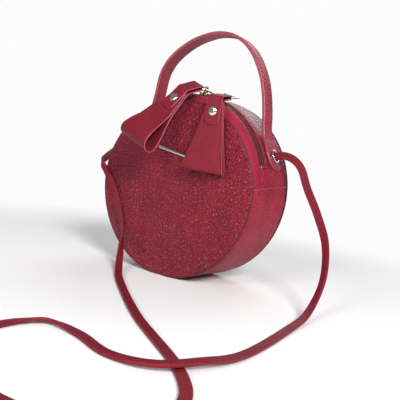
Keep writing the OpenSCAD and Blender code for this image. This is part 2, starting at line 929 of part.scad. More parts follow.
module plain_metal_bar() {
  color(silver)
    union() {
      at_bar()
        linear_extrude(bar_t)
          offset(r = bar_h / 2 - sheet_gap, $fn = small_fn)
            square([bar_len - bar_h, 2 * sheet_gap], center = true);
      bar_prongs();
    }
}

// Boards, lining and seam bindings inside
module front_board() {
  color(board_grey)
    difference() {
      crowned_disc(board_r, board_depth, board_t);
      bar_prongs(hole_gap);
    }
}

module back_board() {
  color(board_grey)
    mirrored_back()
      crowned_disc(board_r, board_depth, board_t);
}

module lining_front() {
  color(lining_red)
    crowned_disc(lining_r - sheet_gap, lining_depth, lining_t);
}

module lining_back() {
  color(lining_red)
    mirrored_back()
      crowned_disc(lining_r - sheet_gap, lining_depth, lining_t);
}

module lining_gusset() {
  side = lining_depth - sheet_gap;
  color(lining_red)
    difference() {
      translate([0, side, centre_h])
        rotate([quarter, 0, 0])
          difference() {
            cylinder(r = lining_r, h = 2 * side);
            translate([0, 0, -overrun])
              cylinder(r = lining_r - lining_t, h = 2 * side + 2 * overrun);
          }
      arc_block(tape_a0 - seam_gap_angle, tape_a1 + seam_gap_angle, lining_r - 2 * lining_t, lining_r + overrun,
        -zip_forward - tape_far - sheet_gap, -zip_forward + tape_far + sheet_gap);
      eyelet_holes();
    }
}

module seam_binding() {
  out = lining_r - lining_t - sheet_gap;
  arc_block(0, full_turn, out - binding_h, out, sheet_gap - lining_depth, binding_w - lining_depth);
}

module front_seam_binding() {
  color(bright_crimson)
    seam_binding();
}

module back_seam_binding() {
  color(bright_crimson)
    mirrored_back()
      seam_binding();
}

front_panel();
back_panel();
lower_gusset();
front_zip_strip();
rear_zip_strip();
zip_end_piece_left();
zip_end_piece_right();
zip_tape_front();
zip_tape_rear();
zip_coil_front();
zip_coil_rear();
zip_stop_left();
zip_stop_right();
slider_left();
slider_right();
pull_ring_left();
pull_ring_right();
leather_pull_left();
leather_pull_right();
rivet_left();
rivet_right();
rivet_back_left();
rivet_back_right();
handle();
handle_tab_left();
handle_tab_right();
eyelet_left();
eyelet_right();
eyelet_washer_left();
eyelet_washer_right();
shoulder_strap();
strap_knot_left();
strap_knot_right();
plain_metal_bar();
front_board();
back_board();
lining_front();
lining_back();
lining_gusset();
front_seam_binding();
back_seam_binding();
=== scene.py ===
"""Round zip-top leather bag, dressed over its CAD frame."""
import math

import bpy
import bmesh
import numpy as np
from mathutils import Matrix, Vector, noise


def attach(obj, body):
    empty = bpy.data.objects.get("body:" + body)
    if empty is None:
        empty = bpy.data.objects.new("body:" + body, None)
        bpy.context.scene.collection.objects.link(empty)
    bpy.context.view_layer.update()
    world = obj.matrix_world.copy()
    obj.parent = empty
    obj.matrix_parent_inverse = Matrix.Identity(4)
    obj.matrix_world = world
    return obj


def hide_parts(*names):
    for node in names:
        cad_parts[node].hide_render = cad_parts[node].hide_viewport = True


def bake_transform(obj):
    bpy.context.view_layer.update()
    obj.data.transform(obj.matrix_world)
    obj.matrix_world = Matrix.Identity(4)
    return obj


bl_info = {
    "name": "Round Zip-Top Bag",
    "version": (1, 0, 0),
    "blender": (4, 5, 0),
    "location": "3D View > Sidebar > Bag",
    "description": "Makes the leather, zip, metal and strap of a round bag over its CAD frame",
    "category": "Add Mesh",
}

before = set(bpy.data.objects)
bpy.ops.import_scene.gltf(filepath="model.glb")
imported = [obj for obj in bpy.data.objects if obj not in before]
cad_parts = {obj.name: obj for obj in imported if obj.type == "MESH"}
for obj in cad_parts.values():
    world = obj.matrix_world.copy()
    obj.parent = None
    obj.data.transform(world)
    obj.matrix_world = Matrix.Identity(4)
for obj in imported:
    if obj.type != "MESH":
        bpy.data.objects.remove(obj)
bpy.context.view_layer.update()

# Lengths are in mm unless said otherwise; distances along Y are from the drum's middle
MM = 0.001
MERGE = 1e-6  # points closer than this are one, metres
CENTRE_H = 89.0  # height of the drum's axis above the floor
DRUM_R = 90.0
SOFT_HALF = 36.0  # half the depth over which the leather gives
RIM_R = 89.3  # outer edge of the panels
RIM_Y = 33  # where the panels' edges sink with the leather
SEAM_Y = 32.4  # where the panels' edges meet the side wall
LEATHER_T = 1.8
SEAM_ROLL = 2.1  # radius of the side wall where it rolls down into a seam
SEAM_DEPTH = 3.4  # how far down its turned-in edge reaches
SEAM_REACH = 4.5  # how far from a seam the leather is drawn in
SEAM_GROOVE = 1.9  # how deep it is drawn in at the seam itself
EDGE_FOLD = 0.85  # radius of a folded free edge
SIDE_SEAM = 6.0  # angle of the side seams, degrees
ZIP_Y = -15.0
ZIP_END = 17.0  # angle of the zip's ends, degrees
STITCH_Y = (-22.3, -7.7)  # the stitch rows on both sides of the zip
STITCH_FILL = 0.78  # the part of its pitch that a stitch fills
HANDLE_Y = 9.0
EYELETS = (25.0, 155.0)  # angles of the eyelets above +X
HOLE_R = 5.35  # the eyelets' holes in the leather
PIVOT_R = 94.9  # the rings' pivots, from the drum's axis
RING_REACH = 15.0  # from a ring's pivot to its far bar


# Small helpers

def linear(hex_colour):
    """sRGB hex to a linear colour."""
    parts = [int(hex_colour[i:i + 2], 16) / 255 for i in (1, 3, 5)]
    return tuple(c / 12.92 if c <= 0.04045 else ((c + 0.055) / 1.055) ** 2.4 for c in parts) + (1.0,)


def feed(tree, node, inputs):
    """Sets a node's inputs; an input given a socket is linked to it."""
    for name, value in inputs.items():
        socket = node.inputs[name]
        if isinstance(value, bpy.types.NodeSocket):
            tree.links.new(value, socket)
        else:
            socket.default_value = value


def add(tree, kind, inputs=None, **settings):
    """Adds a node with its settings and its inputs."""
    made = tree.nodes.new(kind)
    for name, value in settings.items():
        setattr(made, name, value)
    feed(tree, made, inputs or {})
    return made


def around(count):
    """The angles of one turn in equal steps, radians."""
    return [2 * math.pi * i / count for i in range(count)]


def clamp(value):
    return max(0.0, min(1.0, value))


def unit(v):
    v = np.asarray(v, float)
    return v / np.linalg.norm(v)


def placed(points, place):
    """Points in mm moved by a matrix in mm."""
    p = np.asarray(points, float)
    m = np.array(place)
    return p @ m[:3, :3].T + m[:3, 3]


def new_piece(name, points, edges, faces):
    """An object with a new mesh, from points in metres."""
    name = name.replace(" ", "_")
    mesh = bpy.data.meshes.new(name)
    mesh.from_pydata(points, edges, faces)
    piece = bpy.data.objects.new(name, mesh)
    bpy.context.scene.collection.objects.link(piece)
    return piece


def discard(piece):
    """Removes a helper object and its mesh."""
    old = piece.data
    bpy.data.objects.remove(piece)
    bpy.data.meshes.remove(old)


def outwards(piece, merge=0.0):
    """Turns a closed mesh's faces outwards, after its doubles are merged if asked."""
    work = bmesh.new()
    work.from_mesh(piece.data)
    if merge:
        bmesh.ops.remove_doubles(work, verts=work.verts, dist=merge)
    bmesh.ops.recalc_face_normals(work, faces=work.faces)
    work.to_mesh(piece.data)
    work.free()
    piece.data.update()


def mesh_piece(name, points, faces, material, smooth=True, sharp=None):
    """A mesh object from points in mm in the bag's frame; its normals are made to point outwards."""
    piece = new_piece(name, [tuple(float(c) * MM for c in p) for p in points], [], faces)
    for each in material if isinstance(material, (list, tuple)) else [material]:
        piece.data.materials.append(each)
    outwards(piece)
    for polygon in piece.data.polygons:
        polygon.use_smooth = smooth
    if sharp:
        piece.data.set_sharp_from_angle(angle=math.radians(sharp))
    return piece


def skinned(name, rings, material, closed=False, place=None, sharp=None, merge=False):
    """A piece whose skin runs over rings of equal count: with two caps, or closed from the last to the first."""
    count, sides = len(rings), len(rings[0])
    points = [p for ring in rings for p in ring]
    faces = []
    for i in range(count if closed else count - 1):
        a, b = i * sides, ((i + 1) % count) * sides
        for k in range(sides):
            n = (k + 1) % sides
            faces.append((a + k, a + n, b + n, b + k))
    if not closed:
        faces.append(tuple(range(sides - 1, -1, -1)))
        faces.append(tuple((count - 1) * sides + k for k in range(sides)))
    if place is not None:
        points = placed(points, place)
    piece = mesh_piece(name, points, faces, material, sharp=sharp)
    if merge:
        outwards(piece, MERGE)
    return piece


def baked(piece):
    """Applies a piece's modifiers and leaves it as a plain mesh."""
    bpy.context.view_layer.update()
    depsgraph = bpy.context.evaluated_depsgraph_get()
    mesh = bpy.data.meshes.new_from_object(piece.evaluated_get(depsgraph))
    for modifier in list(piece.modifiers):
        piece.modifiers.remove(modifier)
    old = piece.data
    piece.data = mesh
    mesh.name = piece.name
    bpy.data.meshes.remove(old)
    return piece


def joined(name, pieces):
    """One object from several plain mesh objects, keeping each one's materials."""
    points, faces, slots, smooth, materials = [], [], [], [], []
    for piece in pieces:
        start = len(points)
        points += [v.co[:] for v in piece.data.vertices]
        for polygon in piece.data.polygons:
            faces.append([start + i for i in polygon.vertices])
            material = piece.data.materials[polygon.material_index]
            if material not in materials:
                materials.append(material)
            slots.append(materials.index(material))
            smooth.append(polygon.use_smooth)
        discard(piece)
    whole = new_piece(name, points, [], faces)
    for material in materials:
        whole.data.materials.append(material)
    whole.data.polygons.foreach_set("material_index", slots)
    whole.data.polygons.foreach_set("use_smooth", smooth)
    return whole


def given_to(piece, body, nodes=()):
    """Puts a finished piece on its body, names its slot, and lets it stand for CAD nodes."""
    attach(piece, body)
    if nodes:
        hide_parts(*nodes)
    return piece


# How the soft leather lies

def wander(angle, seed=0.0):
    """A gentle unevenness between -1 and 1 that closes on itself round the drum."""
    c, s = math.cos(angle), math.sin(angle)
    return noise.noise(Vector((2.2 * c + seed, 2.2 * s, seed)))


def pucker(angle, seed=0.0):
    """The fine puckers that a turned seam pulls into leather, between -1 and 1."""
    c, s = math.cos(angle), math.sin(angle)
    return noise.noise(Vector((13 * c + seed, 13 * s, 1.7 + seed)))


def give(angle, y):
    """How far the leather sinks towards the drum's axis: most at the front rim over the top."""
    over = max(0.0, math.sin(angle)) ** 1.3
    front = clamp((2 - y) / SOFT_HALF) ** 4.4
    sink = (9.3 + 0.6 * wander(angle, 9.4)) * over * front
    sink += 0.45 * (0.5 + 0.5 * wander(angle, 3.1)) * (1 - (y / SOFT_HALF) ** 2)
    return sink


def seam_lean(degrees, y):
    """How far the side seams and what meets them slant, in degrees: higher at the back than at the front."""
    right = (degrees + 180) % 360 - 180
    away = min(abs(right - SIDE_SEAM), abs(degrees - 180 + SIDE_SEAM))
    slant = 0.058 * (y - 1) * max(0.0, 1 - away / 9)
    return slant if abs(right) < 90 else -slant


def on_drum(angle, radius, y):
    """A point on the drum, from its angle above +X in radians."""
    return (radius * math.cos(angle), y, CENTRE_H + radius * math.sin(angle))


def sunk(angle, radius, y):
    """A point on the drum that sinks with the leather."""
    return on_drum(angle, radius - give(angle, y), y)


def on_drum_place(degrees, y):
    """The matrix of a frame on the drum: Z points outwards, Y along the axis, from the drum's middle."""
    turn = Matrix.Rotation(math.radians(90 - degrees), 4, "Y")
    return Matrix.Translation((0, y, CENTRE_H)) @ turn


def flat_foot(point):
    """Presses a point onto the floor where the drum rests."""
    x, y, z = point
    return (x, y, max(z, 0.0))


# Materials

def surface(name):
    """A new material with its tree, its shader and the coordinates that its textures follow."""
    made = bpy.data.materials.new(name)
    made.use_nodes = True
    tree = made.node_tree
    where = add(tree, "ShaderNodeTexCoord").outputs["Object"]
    return made, tree, tree.nodes["Principled BSDF"], where


def leather(name, colour, deep, grain_mm, bump_mm, rough, gloss, creases=0.0, gap_shade_strength=0.55):
    """Dyed calf leather: glossy top finish over a printed grain, with the dye lying darker in the cells' gaps."""
    made, tree, skin, where = surface(name)
    per_metre = 1000.0 / grain_mm
    # cells of the printed grain
    warp = add(tree, "ShaderNodeTexNoise", {"Vector": where, "Scale": per_metre * 0.6, "Detail": 2.0})
    bent = add(tree, "ShaderNodeMixRGB",
               {"Fac": 0.0012 * grain_mm, "Color1": where, "Color2": warp.outputs["Color"]})
    cells = add(tree, "ShaderNodeTexVoronoi", {"Vector": bent.outputs[0], "Scale": per_metre},
                feature="DISTANCE_TO_EDGE").outputs["Distance"]
    fine = add(tree, "ShaderNodeTexNoise", {"Vector": where, "Scale": per_metre * 2.6, "Detail": 3.0})
    cloud = add(tree, "ShaderNodeTexNoise", {"Vector": where, "Scale": 28.0, "Detail": 3.0, "Roughness": 0.6})
    height = add(tree, "ShaderNodeMapRange", {"Value": cells, "From Min": 0.0, "From Max": 0.3},
                 interpolation_type="SMOOTHERSTEP")
    last = add(tree, "ShaderNodeMath", {0: fine.outputs["Fac"], 1: 0.35, 2: height.outputs[0]},
               operation="MULTIPLY_ADD").outputs[0]
    if creases:
        lines = add(tree, "ShaderNodeTexNoise",
                    {"Vector": where, "Scale": 120.0, "Detail": 4.0, "Distortion": 0.8})
        last = add(tree, "ShaderNodeMath", {0: lines.outputs["Fac"], 1: creases, 2: last},
                   operation="MULTIPLY_ADD").outputs[0]
    bump = add(tree, "ShaderNodeBump", {"Height": last, "Distance": bump_mm * MM, "Strength": 1.0})
    # the deep colour is painted shade in the gaps between the cells, with blotches that differ at random on top
    gap_shade = add(tree, "ShaderNodeMapRange", {"Value": cells, "From Min": 0.14, "From Max": 0.0})
    blotch = add(tree, "ShaderNodeMapRange", {"Value": cloud.outputs["Fac"], "From Min": 0.3, "From Max": 0.7,
                                              "To Min": 0.0, "To Max": 0.35})
    gap_shade_and_blotch = add(tree, "ShaderNodeMath", {0: gap_shade.outputs[0], 1: gap_shade_strength, 2: blotch.outputs[0]},
                   operation="MULTIPLY_ADD", use_clamp=True)
    tone_with_gap_shade = add(tree, "ShaderNodeMixRGB",
              {"Fac": gap_shade_and_blotch.outputs[0], "Color1": tuple(colour), "Color2": tuple(deep)})
    shine = add(tree, "ShaderNodeMapRange", {"Value": fine.outputs["Fac"], "From Min": 0.3, "From Max": 0.7,
                                             "To Min": rough - 0.05, "To Max": rough + 0.07})
    feed(tree, skin, {"Base Color": tone_with_gap_shade.outputs[0], "Roughness": shine.outputs[0], "Normal": bump.outputs[0],
                      "IOR": 1.45, "Specular IOR Level": gloss})
    return made


def edge_paint(name, colour):
    """Painted cut edge of leather: a thick, slightly wavy, satin coat that is paler than the skin."""
    made, tree, skin, where = surface(name)
    waves = add(tree, "ShaderNodeTexNoise", {"Vector": where, "Scale": 700.0, "Detail": 2.0}).outputs["Fac"]
    bump = add(tree, "ShaderNodeBump", {"Height": waves, "Distance": 0.08 * MM, "Strength": 0.8})
    tone = add(tree, "ShaderNodeMixRGB", {"Fac": waves, "Color1": tuple(colour), "Color2": linear("#8C3846")})
    feed(tree, skin, {"Base Color": tone.outputs[0], "Normal": bump.outputs[0], "Roughness": 0.42})
    return made


def woven(name, colour, deep, thread_mm):
    """Plain-woven tape or lining: threads over and under, dull with a little fuzz."""
    made, tree, skin, where = surface(name)
    turns = 1000.0 / thread_mm / 2
    warp, weft, third = (
        add(tree, "ShaderNodeTexWave", {"Vector": where, "Scale": turns / math.pi, "Distortion": 0.3},
            bands_direction=way).outputs["Fac"] for way in "XYZ")
    first = add(tree, "ShaderNodeMath", {0: warp, 1: weft}, operation="MULTIPLY")
    cloth = add(tree, "ShaderNodeMath", {0: first.outputs[0], 1: third}, operation="ADD").outputs[0]
    bump = add(tree, "ShaderNodeBump", {"Height": cloth, "Distance": 0.12 * MM, "Strength": 0.7})
    tone = add(tree, "ShaderNodeMixRGB", {"Fac": cloth, "Color1": linear(deep), "Color2": linear(colour)})
    feed(tree, skin, {"Base Color": tone.outputs[0], "Normal": bump.outputs[0], "Roughness": 0.85,
                      "Sheen Weight": 0.15})
    return made


def plated(name, colour, rough, scratch):
    """Plated and tumble-polished zinc: mirror-like with a faint haze of fine handling scratches."""
    made, tree, skin, where = surface(name)
    haze = add(tree, "ShaderNodeTexNoise",
               {"Vector": where, "Scale": 900.0, "Detail": 3.0, "Distortion": 2.0}).outputs["Fac"]
    spread = add(tree, "ShaderNodeMapRange", {"Value": haze, "From Min": 0.35, "From Max": 0.7,
                                              "To Min": rough, "To Max": rough + scratch})
    bump = add(tree, "ShaderNodeBump", {"Height": haze, "Distance": 0.01 * MM, "Strength": 0.4})
    feed(tree, skin, {"Roughness": spread.outputs[0], "Normal": bump.outputs[0], "Base Color": linear(colour),
                      "Metallic": 1.0})
    return made


def moulded(name, colour, deep, rough):
    """Drawn nylon, rolled piping or pressed board: even and satin, with a slight change of tone."""
    made, tree, skin, where = surface(name)
    tone = add(tree, "ShaderNodeTexNoise", {"Vector": where, "Scale": 400.0, "Detail": 2.0}).outputs["Fac"]
    mix = add(tree, "ShaderNodeMixRGB", {"Fac": tone, "Color1": linear(colour), "Color2": linear(deep)})
    bump = add(tree, "ShaderNodeBump", {"Height": tone, "Distance": 0.03 * MM, "Strength": 0.5})
    feed(tree, skin, {"Base Color": mix.outputs[0], "Normal": bump.outputs[0], "Roughness": rough})
    return made


FINISH = {}


def finishes():
    """All of the bag's finishes, made once, from the colours in the panel."""
    if FINISH:
        return FINISH
    c = bpy.context.scene.bag_colours
    FINISH.update(
        # coarse pebbled calf on the panels and the rear strip, pebbles about 3 mm apart
        pebbled=leather("Pebbled Calf Leather", c.leather, c.leather_gap_shade, 3.0, 1.0, 0.30, 0.36, gap_shade_strength=0.5),
        # finer calf on the strip in front of the zip, even in tone because its skin is closed
        smooth=leather("Smooth Calf Leather", c.strip, c.strip_pore_shade, 1.1, 0.10, 0.42, 0.22),
        # the side wall's grain is pulled flat, so it is finer and duller; its lighter colour is painted light, the
        # lit look of the side wall
        side=leather("Side Calf Leather", c.side, c.leather_gap_shade, 2.4, 0.5, 0.42, 0.14, gap_shade_strength=0.35),
        # the handle is worn glossy; its lighter, pinker colour is painted sheen
        handle=leather("Handle Calf Leather", c.handle, c.pull_pore_shade, 2.4, 0.5, 0.42, 0.32),
        # flat strap leather with fine pores on the pulls, the strap, its knots and the rear strip by the zip
        strap=leather("Strap Leather", c.pull, c.pull_pore_shade, 1.5, 0.22, 0.43, 0.22),
        # flesh side of the handle, brushed and lacquered: fine lines in it; it has the handle's colour with its
        # painted sheen
        inside=leather("Lacquered Leather Inside", c.handle, c.pull_pore_shade, 1.4, 0.14, 0.44, 0.4, creases=0.5),
        edge=edge_paint("Edge Paint", c.edge),
        # a dark cord round each panel's seam: painted shade of the seam groove
        piping=moulded("Rolled Seam Piping", "#4E141E", "#3A0E16", 0.6),
        thread=moulded("Bonded Nylon Thread", "#982C40", "#7C1E30", 0.5),
        tape=woven("Woven Zip Tape", "#5A1C26", "#330E14", 0.6),
        # the coil's pinkish tone is partly its own colour and partly painted highlight
        coil=moulded("Drawn Nylon Coil", "#84424A", "#521E24", 0.28),
        nickel=plated("Polished Nickel", "#E4E0DA", 0.10, 0.10),
        pale_gold=plated("Polished Pale Gold", "#E2D2B0", 0.12, 0.12),
        lining=woven("Twill Lining", "#7A2838", "#5A1A28", 0.5),
        binding=woven("Binding Tape", "#A03048", "#7C2034", 0.8),
        board=moulded("Pressed Bag Board", "#A39C92", "#8A847C", 0.8),
    )
    return FINISH


# Shapes shared by several pieces

def smooth_line(points, per_span):
    """A Catmull-Rom line through the points, with all their columns."""
    p = np.asarray(points, float)
    out = []
    for i in range(len(p) - 1):
        a, b, c, d = p[max(i - 1, 0)], p[i], p[i + 1], p[min(i + 2, len(p) - 1)]
        for j in range(per_span):
            t = j / per_span
            out.append((2 * b + (c - a) * t + (2 * a - 5 * b + 4 * c - d) * t * t
                        + (3 * b - a - 3 * c + d) * t ** 3) / 2)
    out.append(p[-1])
    return np.array(out)


def way_along(line, i):
    """The direction of a line at one of its points."""
    return unit(line[min(i + 1, len(line) - 1)] - line[max(i - 1, 0)])


def inset(outline, distance):
    """A closed flat outline, drawn anticlockwise, moved inwards."""
    p = np.asarray(outline, float)
    before, after = p - np.roll(p, 1, 0), np.roll(p, -1, 0) - p
    before /= np.linalg.norm(before, axis=1)[:, None]
    after /= np.linalg.norm(after, axis=1)[:, None]
    n1 = np.stack([-before[:, 1], before[:, 0]], 1)
    n2 = np.stack([-after[:, 1], after[:, 0]], 1)
    return p + distance * (n1 + n2) / (1 + (n1 * n2).sum(1))[:, None]


def quarter(centre, radius, first, last, steps=5):
    """Points of an arc in a flat section, angles in degrees."""
    turns = [math.radians(first + (last - first) * i / steps) for i in range(steps + 1)]
    return [(centre[0] + radius * math.cos(a), centre[1] + radius * math.sin(a)) for a in turns]


def rounded_box(half_x, half_y, corner, steps=6):
    """An anticlockwise rounded rectangle."""
    outline = []
    for sx, sy, first in ((1, 1, 0), (-1, 1, 90), (-1, -1, 180), (1, -1, 270)):
        centre = (sx * (half_x - corner), sy * (half_y - corner))
        outline += quarter(centre, corner, first, first + 90, steps)
    return outline


def pillow(name, outline, low, high, ease, place, material, hole=None, steps=3):
    """A plate with eased edges over an anticlockwise outline, from low to high along its own Z."""
    turns = [math.pi / 2 * i / steps for i in range(steps + 1)]
    levels = [(ease * (1 - math.sin(a)), low + ease * (1 - math.cos(a))) for a in turns]
    levels += [(e, high - (h - low)) for e, h in reversed(levels)]
    rings = [[(q[0], q[1], h) for q in inset(outline, e)] for e, h in levels]
    if hole is not None:
        rings += [[(q[0], q[1], h) for q in inset(hole, -e)] for e, h in reversed(levels)]
    return skinned(name, rings, material, hole is not None, place, sharp=50)


def turned(name, profile, place, material, sides=48):
    """A turned piece: a closed profile of (radius, height) about its own Z."""
    rings = [[(r * math.cos(a), r * math.sin(a), h) for r, h in profile] for a in around(sides)]
    return skinned(name, rings, material, True, place, sharp=50, merge=True)


def tube(name, line, radius, material, place=None, closed=False, sides=12):
    """A round wire or cord along a line."""
    p = np.asarray(line, float)
    rings = []
    side = None
    for i in range(len(p)):
        way = unit(p[(i + 1) % len(p)] - p[i - 1]) if closed else way_along(p, i)
        if side is None:
            side = np.cross(way, (0.0, 0.0, 1.0) if abs(way[2]) < 0.9 else (0.0, 1.0, 0.0))
        side = unit(side - way * np.dot(side, way))
        other = np.cross(way, side)
        rings.append([p[i] + radius * (math.cos(a) * side + math.sin(a) * other) for a in around(sides)])
    return skinned(name, rings, material, closed, place)


def drum_angles(start, end, step=0.75, ends=True):
    """Angles in degrees from start to end, closer together at both ends where the leather rolls over."""
    near = [0.0, 0.1, 0.3, 0.6, 0.9, 1.25] if ends else [0.0]
    count = max(2, int((end - start - 2 * near[-1]) / step))
    middle = np.linspace(start + near[-1], end - near[-1], count + 1)
    return [start + n for n in near[:-1]] + list(middle) + [end - n for n in reversed(near[:-1])]


def cloth_band(name, start, end, y0, y1, outer, inner, material):
    """A thin band of cloth that lies round the drum between two angles in degrees."""
    mid = (y0 + y1) / 2
    section = ((outer, y0), (outer, mid), (outer, y1), (inner, y1), (inner, mid), (inner, y0))
    rings = [[sunk(math.radians(degrees), r, y) for r, y in section]
             for degrees in drum_angles(start, end, 1.5, False)]
    return skinned(name, rings, material, sharp=40)


def wall_section(y0, y1, seam0, seam1):
    """Section of a side-wall strip as (radius, y): rolled down at a seam, folded over at a free edge."""
    roll, fold, t = SEAM_ROLL, EDGE_FOLD, LEATHER_T
    foot = DRUM_R - SEAM_DEPTH
    front = quarter((DRUM_R - roll, y0 + roll), roll, -90, 0) if seam0 else quarter(
        (DRUM_R - fold, y0 + fold), fold, -180, 0, 8)
    back = quarter((DRUM_R - roll, y1 - roll), roll, 0, 90) if seam1 else quarter(
        (DRUM_R - fold, y1 - fold), fold, 0, 180, 8)
    low = y0 + (roll if seam0 else fold)
    high = y1 - (roll if seam1 else fold)
    flat = [(DRUM_R, y) for y in np.linspace(low, high, max(3, int((high - low) / 2.5)))[1:-1]]
    under_back = [(foot, y1), (foot, y1 - t), (DRUM_R - t, y1 - t)] if seam1 else []
    under_front = [(DRUM_R - t, y0 + t), (foot, y0 + t), (foot, y0)] if seam0 else []
    inner_low = y0 + (roll + t if seam0 else 2 * fold)
    inner_high = y1 - (roll + t if seam1 else 2 * fold)
    inner = [(DRUM_R - t, y) for y in np.linspace(inner_high, inner_low, 5)]
    return front + flat + back + under_back + inner + under_front


def wall_strip(name, start, end, y0, y1, seam0, seam1, material, seed, open_ends=(), second=None, change=0.0):
    """A leather strip of the side wall between two angles in degrees.

    An open end runs on into the next strip; a second material covers what lies in front of change.
    """
    section = wall_section(y0, y1, seam0, seam1)
    size = bpy.context.scene.bag_sizes
    middle = (y0 + y1) / 2
    rings = []
    for degrees in drum_angles(start, end):
        ring = []
        for radius, y in section:
            close = math.exp(-((y - y0) / SEAM_REACH) ** 2) if seam0 else 0.0
            close += math.exp(-((y - y1) / SEAM_REACH) ** 2) if seam1 else 0.0
            angle = math.radians(degrees + seam_lean(degrees, y))
            pull = close * (0.5 + size.pucker * pucker(angle, seed + (7 if y > 0 else 0)))
            pull += SEAM_GROOVE * close ** 5
            edge = wander(angle, seed + 5) * 0.25
            if (seam0 and y < middle) or (seam1 and y > middle):
                edge = 0.0
            dip, fold = 0.0, 0.0
            for limit in (start, end):
                away = abs(degrees - limit) * math.pi / 180 * DRUM_R
                if limit not in open_ends or -20 < y < -10:
                    dip += 1.3 * (1 - math.sqrt(max(0.0, 1 - (1 - min(away / 1.6, 1.0)) ** 2)))
                if limit not in (ZIP_END, 180 - ZIP_END) and limit not in open_ends:
                    fold += 0.5 * math.exp(-away / 7) * noise.noise(Vector((y * 0.42, limit, 4.0)))
            r = radius - give(angle, y) - pull - fold - (dip if radius > DRUM_R - 1.7 else 0)
            ring.append(flat_foot(on_drum(angle, r, y + edge)))
        rings.append(ring)
    piece = skinned(name, rings, [material, second] if second else material, sharp=60)
    if second:
        for polygon in piece.data.polygons:
            polygon.material_index = 1 if polygon.center[1] < change * MM else 0
    return piece


def panel(name, side, material, seed):
    """A crowned round leather panel; side is -1 for the front and 1 for the back."""
    size = bpy.context.scene.bag_sizes
    roll = 1.7

    def crowned(depth, radii):
        return [(rho, depth + size.crown * (1 - (rho / DRUM_R) ** 2)) for rho in radii]

    profile = crowned(34.0, [0, 4, 10, 17, 24, 31, 38, 45, 51, 57, 62, 67, 71, 75, 78, 81, 83, 84.6, 86,
                             RIM_R - roll])
    profile += quarter((RIM_R - roll, 34.15 - roll), roll, 78, 0)
    profile += [(RIM_R - 0.4, 32.3)] + crowned(32.2, [87, 83, 75, 60, 40, 20, 0])
    rings = []
    for angle in around(480):
        ring = []
        for rho, depth in profile:
            near = max(0.0, (rho - 66) / (RIM_R - 66))
            pull = near ** 5 * (0.2 + size.pucker * pucker(angle, seed))
            swell = 0.5 * noise.noise(Vector((rho * math.cos(angle) / 34, rho * math.sin(angle) / 34, seed)))
            swell -= 0.35 * near ** 3 * pucker(angle, seed + 2)
            r = rho - give(angle, side * RIM_Y) * (rho / RIM_R) ** 4 - pull
            ring.append(flat_foot(on_drum(angle, r, side * (depth + swell * (1 - (rho / RIM_R) ** 12)))))
        rings.append(ring)
    return skinned(name, rings, material, True, sharp=60, merge=True)


def band(name, stations, face, back, edge, crease=0.0):
    """A leather band through stations of (centre, across, up, width, thickness), with painted cut edges."""
    rings = []
    for centre, across, up, width, thickness in stations:
        c, s, u = np.asarray(centre, float), np.asarray(across, float), np.asarray(up, float)
        h, t = width / 2, thickness / 2
        e = min(0.4, t * 0.5)
        ins = [min(e, h * 0.1), min(0.85, h * 0.25), min(1.1, h * 0.35), min(1.35, h * 0.45)]
        top = [(h - ins[0], t), (h - ins[1], t), (h - ins[2], t - crease), (h - ins[3], t)]
        top += [(-w, v) for w, v in reversed(top)]
        right = [(h, -t + e), (h + 0.04, 0.0), (h, t - e)]
        half = right + top
        ring = half + [(-w, -v) for w, v in half]
        rings.append([c + w * s + v * u for w, v in ring])
    piece = skinned(name, rings, [face, back, edge], sharp=40)
    sides = len(rings[0])
    walls = (len(rings) - 1) * sides
    for polygon in piece.data.polygons:
        k = polygon.index % sides if polygon.index < walls else 0
        polygon.material_index = 0 if 3 <= k <= 9 else 1 if 14 <= k <= 20 else 2
    return piece


def row_nodes():
    """Node group: a small shape laid along a line at an even pitch, turned to the line and to what is under it."""
    found = bpy.data.node_groups.get("Row Along Line")
    if found:
        return found
    group = bpy.data.node_groups.new("Row Along Line", "GeometryNodeTree")
    for name, kind in (("Geometry", "Geometry"), ("Shape", "Object"), ("Pitch", "Float"),
                       ("Unevenness", "Float"), ("Seed", "Int"), ("Finish", "Material")):
        group.interface.new_socket(name, in_out="INPUT", socket_type="NodeSocket" + kind)
    group.interface.new_socket("Geometry", in_out="OUTPUT", socket_type="NodeSocketGeometry")
    given = add(group, "NodeGroupInput").outputs
    line = add(group, "GeometryNodeMeshToCurve", {"Mesh": given["Geometry"]})
    even = add(group, "GeometryNodeResampleCurve", {"Curve": line.outputs[0], "Length": given["Pitch"]},
               mode="LENGTH")
    way = add(group, "GeometryNodeInputTangent")
    along = add(group, "FunctionNodeAlignRotationToVector", {"Vector": way.outputs[0]}, axis="X")
    out = add(group, "GeometryNodeInputNamedAttribute", {"Name": "outward"}, data_type="FLOAT_VECTOR")
    facing = add(group, "FunctionNodeAlignRotationToVector",
                 {"Rotation": along.outputs[0], "Vector": out.outputs["Attribute"]}, axis="Z", pivot_axis="X")
    less = add(group, "ShaderNodeMath", {0: given["Unevenness"], 1: -1.0}, operation="MULTIPLY")
    chance = add(group, "FunctionNodeRandomValue",
                 {2: less.outputs[0], 3: given["Unevenness"], "Seed": given["Seed"]}, data_type="FLOAT")
    spin = add(group, "FunctionNodeAxisAngleToRotation", {"Axis": (0.0, 0.0, 1.0), "Angle": chance.outputs[1]})
    turn = add(group, "FunctionNodeRotateRotation",
               {"Rotation": facing.outputs[0], "Rotate By": spin.outputs[0]}, rotation_space="LOCAL")
    shape = add(group, "GeometryNodeObjectInfo", {"Object": given["Shape"], "As Instance": True},
                transform_space="ORIGINAL")
    laid = add(group, "GeometryNodeInstanceOnPoints",
               {"Points": even.outputs[0], "Instance": shape.outputs["Geometry"], "Rotation": turn.outputs[0]})
    real = add(group, "GeometryNodeRealizeInstances", {"Geometry": laid.outputs[0]})
    done = add(group, "GeometryNodeSetMaterial", {"Geometry": real.outputs[0], "Material": given["Finish"]})
    add(group, "NodeGroupOutput", {"Geometry": done.outputs[0]})
    return group


